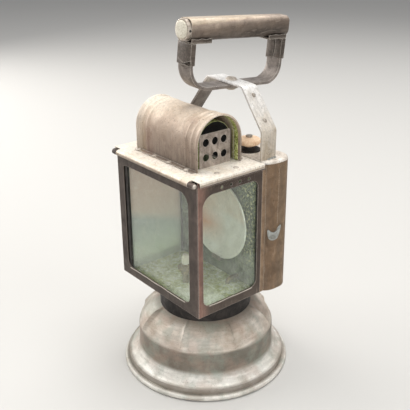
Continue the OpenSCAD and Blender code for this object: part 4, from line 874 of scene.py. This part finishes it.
def cowl_barrel(mats):
    """The cowl: one sheet bent over the flue, with rolled rims, pairs of swaged beads and a turned-out foot along
    each side."""
    side = [(-COWL_R, z) for z in (206.9, 209, 212, 215.5, 219, 223)]
    top = arc(0, COWL_Z, COWL_R, 180, 0, 45)
    arch = side + top + [(-y, z) for y, z in reversed(side)]
    rim_r = 1.3
    rims = [COWL_X0 + rim_r, COWL_X1 - rim_r]
    beads = [pair + side for pair in (-31.0, 29.5) for side in (-3.6, 3.6)]
    stations, x = [], COWL_X0
    while x < COWL_X1 - 0.01:
        stations.append(x)
        near = min(abs(x - middle) for middle in rims + beads)
        x += 0.45 if near < 2.6 else 1.8
    stations.append(COWL_X1)
    barrel = draw_line("cowl_barrel_swaged", [(stations[0], COWL_Y + y, z) for y, z in arch])
    pull(barrel, (1, 0, 0), stations)

    def swell(x):
        grow = 0.0
        for rim in rims:
            grow = max(grow, 1.35 * math.sqrt(max(0.0, 1 - ((x - rim) / rim_r) ** 2)))
        for bead in beads:
            grow = max(grow, 0.7 * math.exp(-(((x - bead) / 0.8) ** 2)))
        return grow

    def shape(p):
        y = p.y - COWL_Y
        if p.z <= COWL_Z:
            out = Vector((0, 1 if y > 0 else -1, 0))
        else:
            out = Vector((0, y, p.z - COWL_Z)).normalized()
        wave = 0.35 * math.sin(p.x / 13 + y / 9) * math.sin(p.x / 7.5 + 1.3)
        return p + out * (swell(p.x) + (wave if swell(p.x) < 0.05 else 0))

    move_points(barrel, shape)
    thicken(barrel, 0.8, -1 if faces_out(barrel, (0, COWL_Y, 222)) else 1)
    break_edges(barrel, 0.2, 2, 60)
    smooth(barrel, 55)
    feet = []
    for s in (-1, 1):
        inner, half = 22.2, 2.6
        spots = [COWL_X0 + 2.6 + (COWL_X1 - COWL_X0 - 5.2) * i / 24 for i in range(25)]
        foot = draw_line("foot", [(x, COWL_Y + s * inner, ROOF_Z + 0.45) for x in spots])
        pull(foot, (0, s * half, 0), (0, 1, 2))
        edge = COWL_Y + s * (inner + 2 * half)

        def wavy(p, edge=edge, s=s):
            near = abs(p.y - edge) < 0.3
            return (p.x, p.y + (0.35 * s * math.sin(p.x / 2.3) * math.sin(p.x / 6.1) if near else 0),
                    p.z + (0.25 * (1 + math.sin(p.x / 3.1)) if near else 0))

        move_points(foot, wavy)
        thicken(foot, 0.7, 0)
        break_edges(foot, 0.2)
        smooth(foot, 40)
        feet.append(foot)
    barrel = join("cowl_barrel_swaged", barrel, *feet)
    return finish_piece(barrel, "lid", "weathered_tin", mats["cowl_tin"], "cowl_barrel")


def faces_out(obj, centre):
    """Whether most faces look away from a point in millimetres."""
    middle = Vector(centre) * MM
    score = sum(1 if (f.center - middle).dot(f.normal) > 0 else -1 for f in obj.data.polygons)
    return score > 0


def rivet_head(radius, rise):
    """A domed rivet head, drawn at the origin and pointing up."""
    line = [(radius * math.cos(math.radians(t)), rise * math.sin(math.radians(t))) for t in range(0, 91, 15)]
    head = spun("rivet", [(radius, -0.3)] + line[:-1] + [(0.001, rise)], (0, 0, 0), (0, 0, 1), 20)
    smooth(head, 60)
    return head


def rivets(mats, name, body, slot, spots, radius, rise, *replaced, material=None):
    """Copies of one rivet head at (place, way) pairs."""
    head, heads = rivet_head(radius, rise), []
    for place, way in spots:
        piece = twin(head, "rivet")
        turn = Vector(way).to_track_quat("Z", "Y")
        place = Vector(place)
        move_points(piece, lambda p, place=place, turn=turn: place + turn @ p)
        heads.append(piece)
    bpy.data.objects.remove(head)
    done = join(name, *heads)
    return finish_piece(done, body, slot, material or mats[slot], *replaced)


def valve_knob(mats):
    """Turned wooden knob with a cushion rim and two turned grooves."""
    profile = [(1.6, 211.1), (4.8, 211.1), (5.8, 211.6), (6.6, 212.4), (8.7, 212.9), (9.8, 213.8), (10.25, 214.9),
               (10.2, 215.7), (9.9, 216.0), (10.05, 216.4), (9.6, 217.2), (8.5, 217.9), (7.8, 217.95), (7.4, 217.7),
               (7.0, 218.0), (4.6, 218.6), (1.6, 218.9)]
    knob = spun("valve_knob_turned", profile, (VALVE[0], VALVE[1], 0), (0, 0, 1), 64)
    break_edges(knob, 0.15, 2, 25)
    smooth(knob, 30)
    return finish_piece(knob, "knob", "knob_wood", mats["knob_wood"], "valve_knob")


def reflector_dish(mats):
    """Spun dish with a turned-back rim."""
    wide, deep = 36.5, 5.5
    dish_r = (wide**2 + deep**2) / (2 * deep)
    top = math.degrees(math.asin(wide / dish_r))
    line = [(max(0.001, dish_r * math.sin(math.radians(top * i / 20))),
             dish_r * (1 - math.cos(math.radians(top * i / 20)))) for i in range(21)]
    line += [(37.1, 5.95), (37.7, 6.0), (38.0, 5.6), (37.8, 5.1), (37.2, 4.9)]
    dish = spun("reflector_dish_spun", [(r, h) for r, h in line], (DISH_X, DISH_Y, DISH_Z), (0, -1, 0), 96)
    thicken(dish, 0.5, 0)
    smooth(dish, 50)
    return finish_piece(dish, "lantern", "reflector_metal", mats["reflector_metal"], "reflector")


def lump(name, centre, size, rough, turn=0.0):
    """An uneven lump of solder or putty: a ball flattened, dented and set in place."""
    select_none()
    bpy.ops.mesh.primitive_uv_sphere_add(segments=32, ring_count=18, radius=1, location=(0, 0, 0))
    obj = bpy.context.active_object
    obj.name = obj.data.name = name

    def shape(p):
        p = p * MM
        swell = 1 + rough * math.sin(5 * p.y + 2 + turn) * math.cos(4 * p.z + turn)
        swell += 0.6 * rough * math.sin(9 * p.z + turn)
        q = Vector((p.x * size[0], p.y * size[1], p.z * size[2])) * swell
        return q + Vector(centre)

    move_points(obj, shape)
    smooth(obj, 80)
    return obj


def tank_side(y):
    """The x of the tank's right side, whose front corner bulges out beside the case."""
    corner_x, corner_y, radius = 42.9, 31.05, 17.15
    return corner_x + math.sqrt(max(0.0, radius**2 - min(0.0, y - corner_y) ** 2))


def strap_solder(mats):
    """Solder where the bracket's legs enter the tank's top, and an old run of it on the tank's right side."""
    beads = []
    for s in (-1, 1):
        for x in (LEG_X - 0.5, LEG_X + STRAP_T + 0.3):
            far = x > LEG_X
            for i in range(3 if far else 5):
                y = STRAP_Y + STRAP_W / 2 - 2.0 - i * 3.0
                tall = 0.9 + 0.25 * math.sin(i * 2.1 + s)
                beads.append(lump("bead", (s * x, y, ROOF_Z + 0.2), (0.9, 1.9, tall), 0.1, i))
    run = draw_line("run", [(0, y, z) for y, z in ((-6.5, 4.6), (-6.2, 0), (-5.4, -4), (-3.6, -5.7), (0, -6), (3, -5),
                                                  (4.8, -1.5), (6.2, 3), (7.0, 6.8), (5.6, 6.9), (3.2, 2.8), (0.4, 1.2),
                                                  (-2.4, 1.2), (-4.4, 2.6), (-5.4, 4.8))], closed=True)
    take(run)
    bpy.ops.object.mode_set(mode="EDIT")
    bpy.ops.mesh.select_all(action="SELECT")
    bpy.ops.mesh.edge_face_add()
    bpy.ops.mesh.inset(thickness=1.0 * MM, depth=0)
    bpy.ops.object.mode_set(mode="OBJECT")
    worked(run, "SUBSURF", levels=3, render_levels=3)

    def onto_tank(p):
        y, z = 28.5 + p.y, 140.1 + p.z
        return (tank_side(y) + 0.02, y, z)

    move_points(run, onto_tank)
    thicken(run, 1.0, 1 if faces_out(run, (0, 28, 140)) else -1)
    break_edges(run, 0.4, 3)
    smooth(run, 60)
    done = join("strap_solder_run", run, *beads)
    return finish_piece(done, "lantern", "lead_solder", mats["lead_solder"], "strap_solder")


def lip_highlight_strips(mats):
    """Bright strips along the turned lips below the two near windows: painted highlights on the lips' edges."""
    proud, level = 0.85, 93.05
    front = [(x, FRONT_Y - proud + 0.12 * math.sin(x / 3.0), level + 0.2 * math.sin(x / 5.0))
             for x in range(-43, 41, 2)]
    right = [(CASE_X + proud + 0.1 * math.sin(y / 3.0), y, level + 0.2 * math.sin(y / 4.0))
             for y in range(-42, 7, 2)]
    for name, line in (("lip_highlight_front", front), ("lip_highlight_right", right)):
        strip = draw_line(name, line)
        pull(strip, (0, 0, 0.7))
        thicken(strip, 0.25, 0)
        break_edges(strip, 0.1)
        smooth(strip, 50)
        finish_piece(strip, "lantern", "weathered_tin", mats["weathered_tin"])


def tank_seams(mats):
    """The tank's soldered lap: two low ridges down its right side."""
    ridges = []
    for y, low, wide in ((20.6, 86, 0.9), (31.5, 149, 0.7)):
        ridge = draw_line("ridge", [(tank_side(y) - 0.1 + 0.06 * math.sin(z / 4.0), y + 0.2 * math.sin(z / 9.0), z)
                                    for z in range(low, 201, 5)])
        pull(ridge, (0, wide, 0))
        thicken(ridge, 0.6, 0)
        break_edges(ridge, 0.28, 3)
        smooth(ridge, 60)
        ridges.append(ridge)
    done = join("tank_lap_ridges", *ridges)
    return finish_piece(done, "lantern", "olive_patina", mats["olive_patina"])


# ---------------------------------------------------------------- build


def dress_cad_nodes(mats):
    """Every CAD node that stays gets its metal, softened edges, and rides where it is."""
    special = {"right_panel": "copper_patina", "back_panel": "back_metal", "base_plate": "floor_moss",
               "left_glass": "far_pane_glass", "roof_plate": "roof_tin", "hinge_pin": "weathered_tin",
               "cowl_flue": "flue_metal", "left_end_plate": "plate_tin", "right_end_plate": "plate_tin",
               "tank_cap": "cap_tin"}
    slots = {row["node"]: row["material_slot"] for row in frame["record"]["subparts"]}
    for name, obj in nodes.items():
        obj.data.materials.clear()
        obj.data.materials.append(mats[special.get(name, slots[name])])
        if slots[name] == "pane_glass":
            continue
        modifier(obj, "WELD", merge_threshold=0.002 * MM)
        modifier(obj, "BEVEL", width=0.22 * MM, segments=2, limit_method="ANGLE", angle_limit=math.radians(40))
        modifier(obj, "WEIGHTED_NORMAL", weight=100, keep_sharp=True)


def make_floor():
    """A plain pale floor, just under the pot."""
    select_none()
    bpy.ops.mesh.primitive_plane_add(size=8, location=(0, 0, -0.0002))
    floor = bpy.context.active_object
    floor.name = "floor"
    mat, _ = new_material("pale_floor")
    coat(mat, Base_Color="#c6c4c0", Roughness=0.9, Specular_IOR_Level=0.1)
    floor.data.materials.append(mat)


def make_world():
    """Even light from all round, as from white walls."""
    world = bpy.data.worlds.new("studio")
    bpy.context.scene.world = world
    world.use_nodes = True
    world.node_tree.nodes["Background"].inputs["Color"].default_value = srgb("#e4e6ea")
    world.node_tree.nodes["Background"].inputs["Strength"].default_value = 0.45


make_camera()
make_world()
area_lamp("key", (-0.9, -0.7, 1.5), (0, 0, 0.15), (1.2, 1.2), 11, (1.0, 0.985, 0.96))
area_lamp("top", (0.1, 0.2, 1.8), (0, 0, 0.15), (1.0, 1.0), 24, (1.0, 0.99, 0.97))
area_lamp("low_fill", (1.1, -1.1, 0.55), (0, 0, 0.14), (0.9, 0.7), 9, (0.97, 0.98, 1.0))
area_lamp("left_low", (-1.5, -0.3, 0.5), (0, 0, 0.14), (0.9, 0.6), 14, (1.0, 0.98, 0.96))
area_lamp("fill", (1.5, 0.4, 0.9), (0, 0, 0.15), (1.0, 1.4), 6, (0.96, 0.98, 1.0))
area_lamp("back", (-0.4, 1.4, 1.2), (0, 0, 0.2), (1.2, 0.8), 6, (1.0, 1.0, 1.0))
make_floor()

materials = build_materials()
dress_cad_nodes(materials)
pot_shell(materials)
bracket_strap(materials)
handle_band(materials)
grip_sheath(materials, "front")
grip_sheath(materials, "rear")
grip(materials)
cowl_barrel(materials)
valve_knob(materials)
reflector_dish(materials)
strap_solder(materials)
lip_highlight_strips(materials)
tank_seams(materials)
UP = (0, 0, 1)
cowl_middle, cowl_long = (COWL_X0 + COWL_X1) / 2, COWL_X1 - COWL_X0
roof_spots = [((cowl_middle + share * cowl_long, COWL_Y + side * 25.5, ROOF_Z + 0.85), UP)
              for share in (-0.43, -0.15, 0.09, 0.37) for side in (-1, 1)]
side_spots = [((side * 50.75, COWL_Y + y, ROOF_Z + 0.05), UP) for side in (-1, 1) for y in (-11, 9)]
rivets(materials, "roof_rivet_heads", "lid", "dull_steel", roof_spots + side_spots, 2.4, 0.9, "roof_rivets",
       material=materials["weathered_tin"])

bpy.context.scene.view_settings.view_transform = "Standard"
select_none()
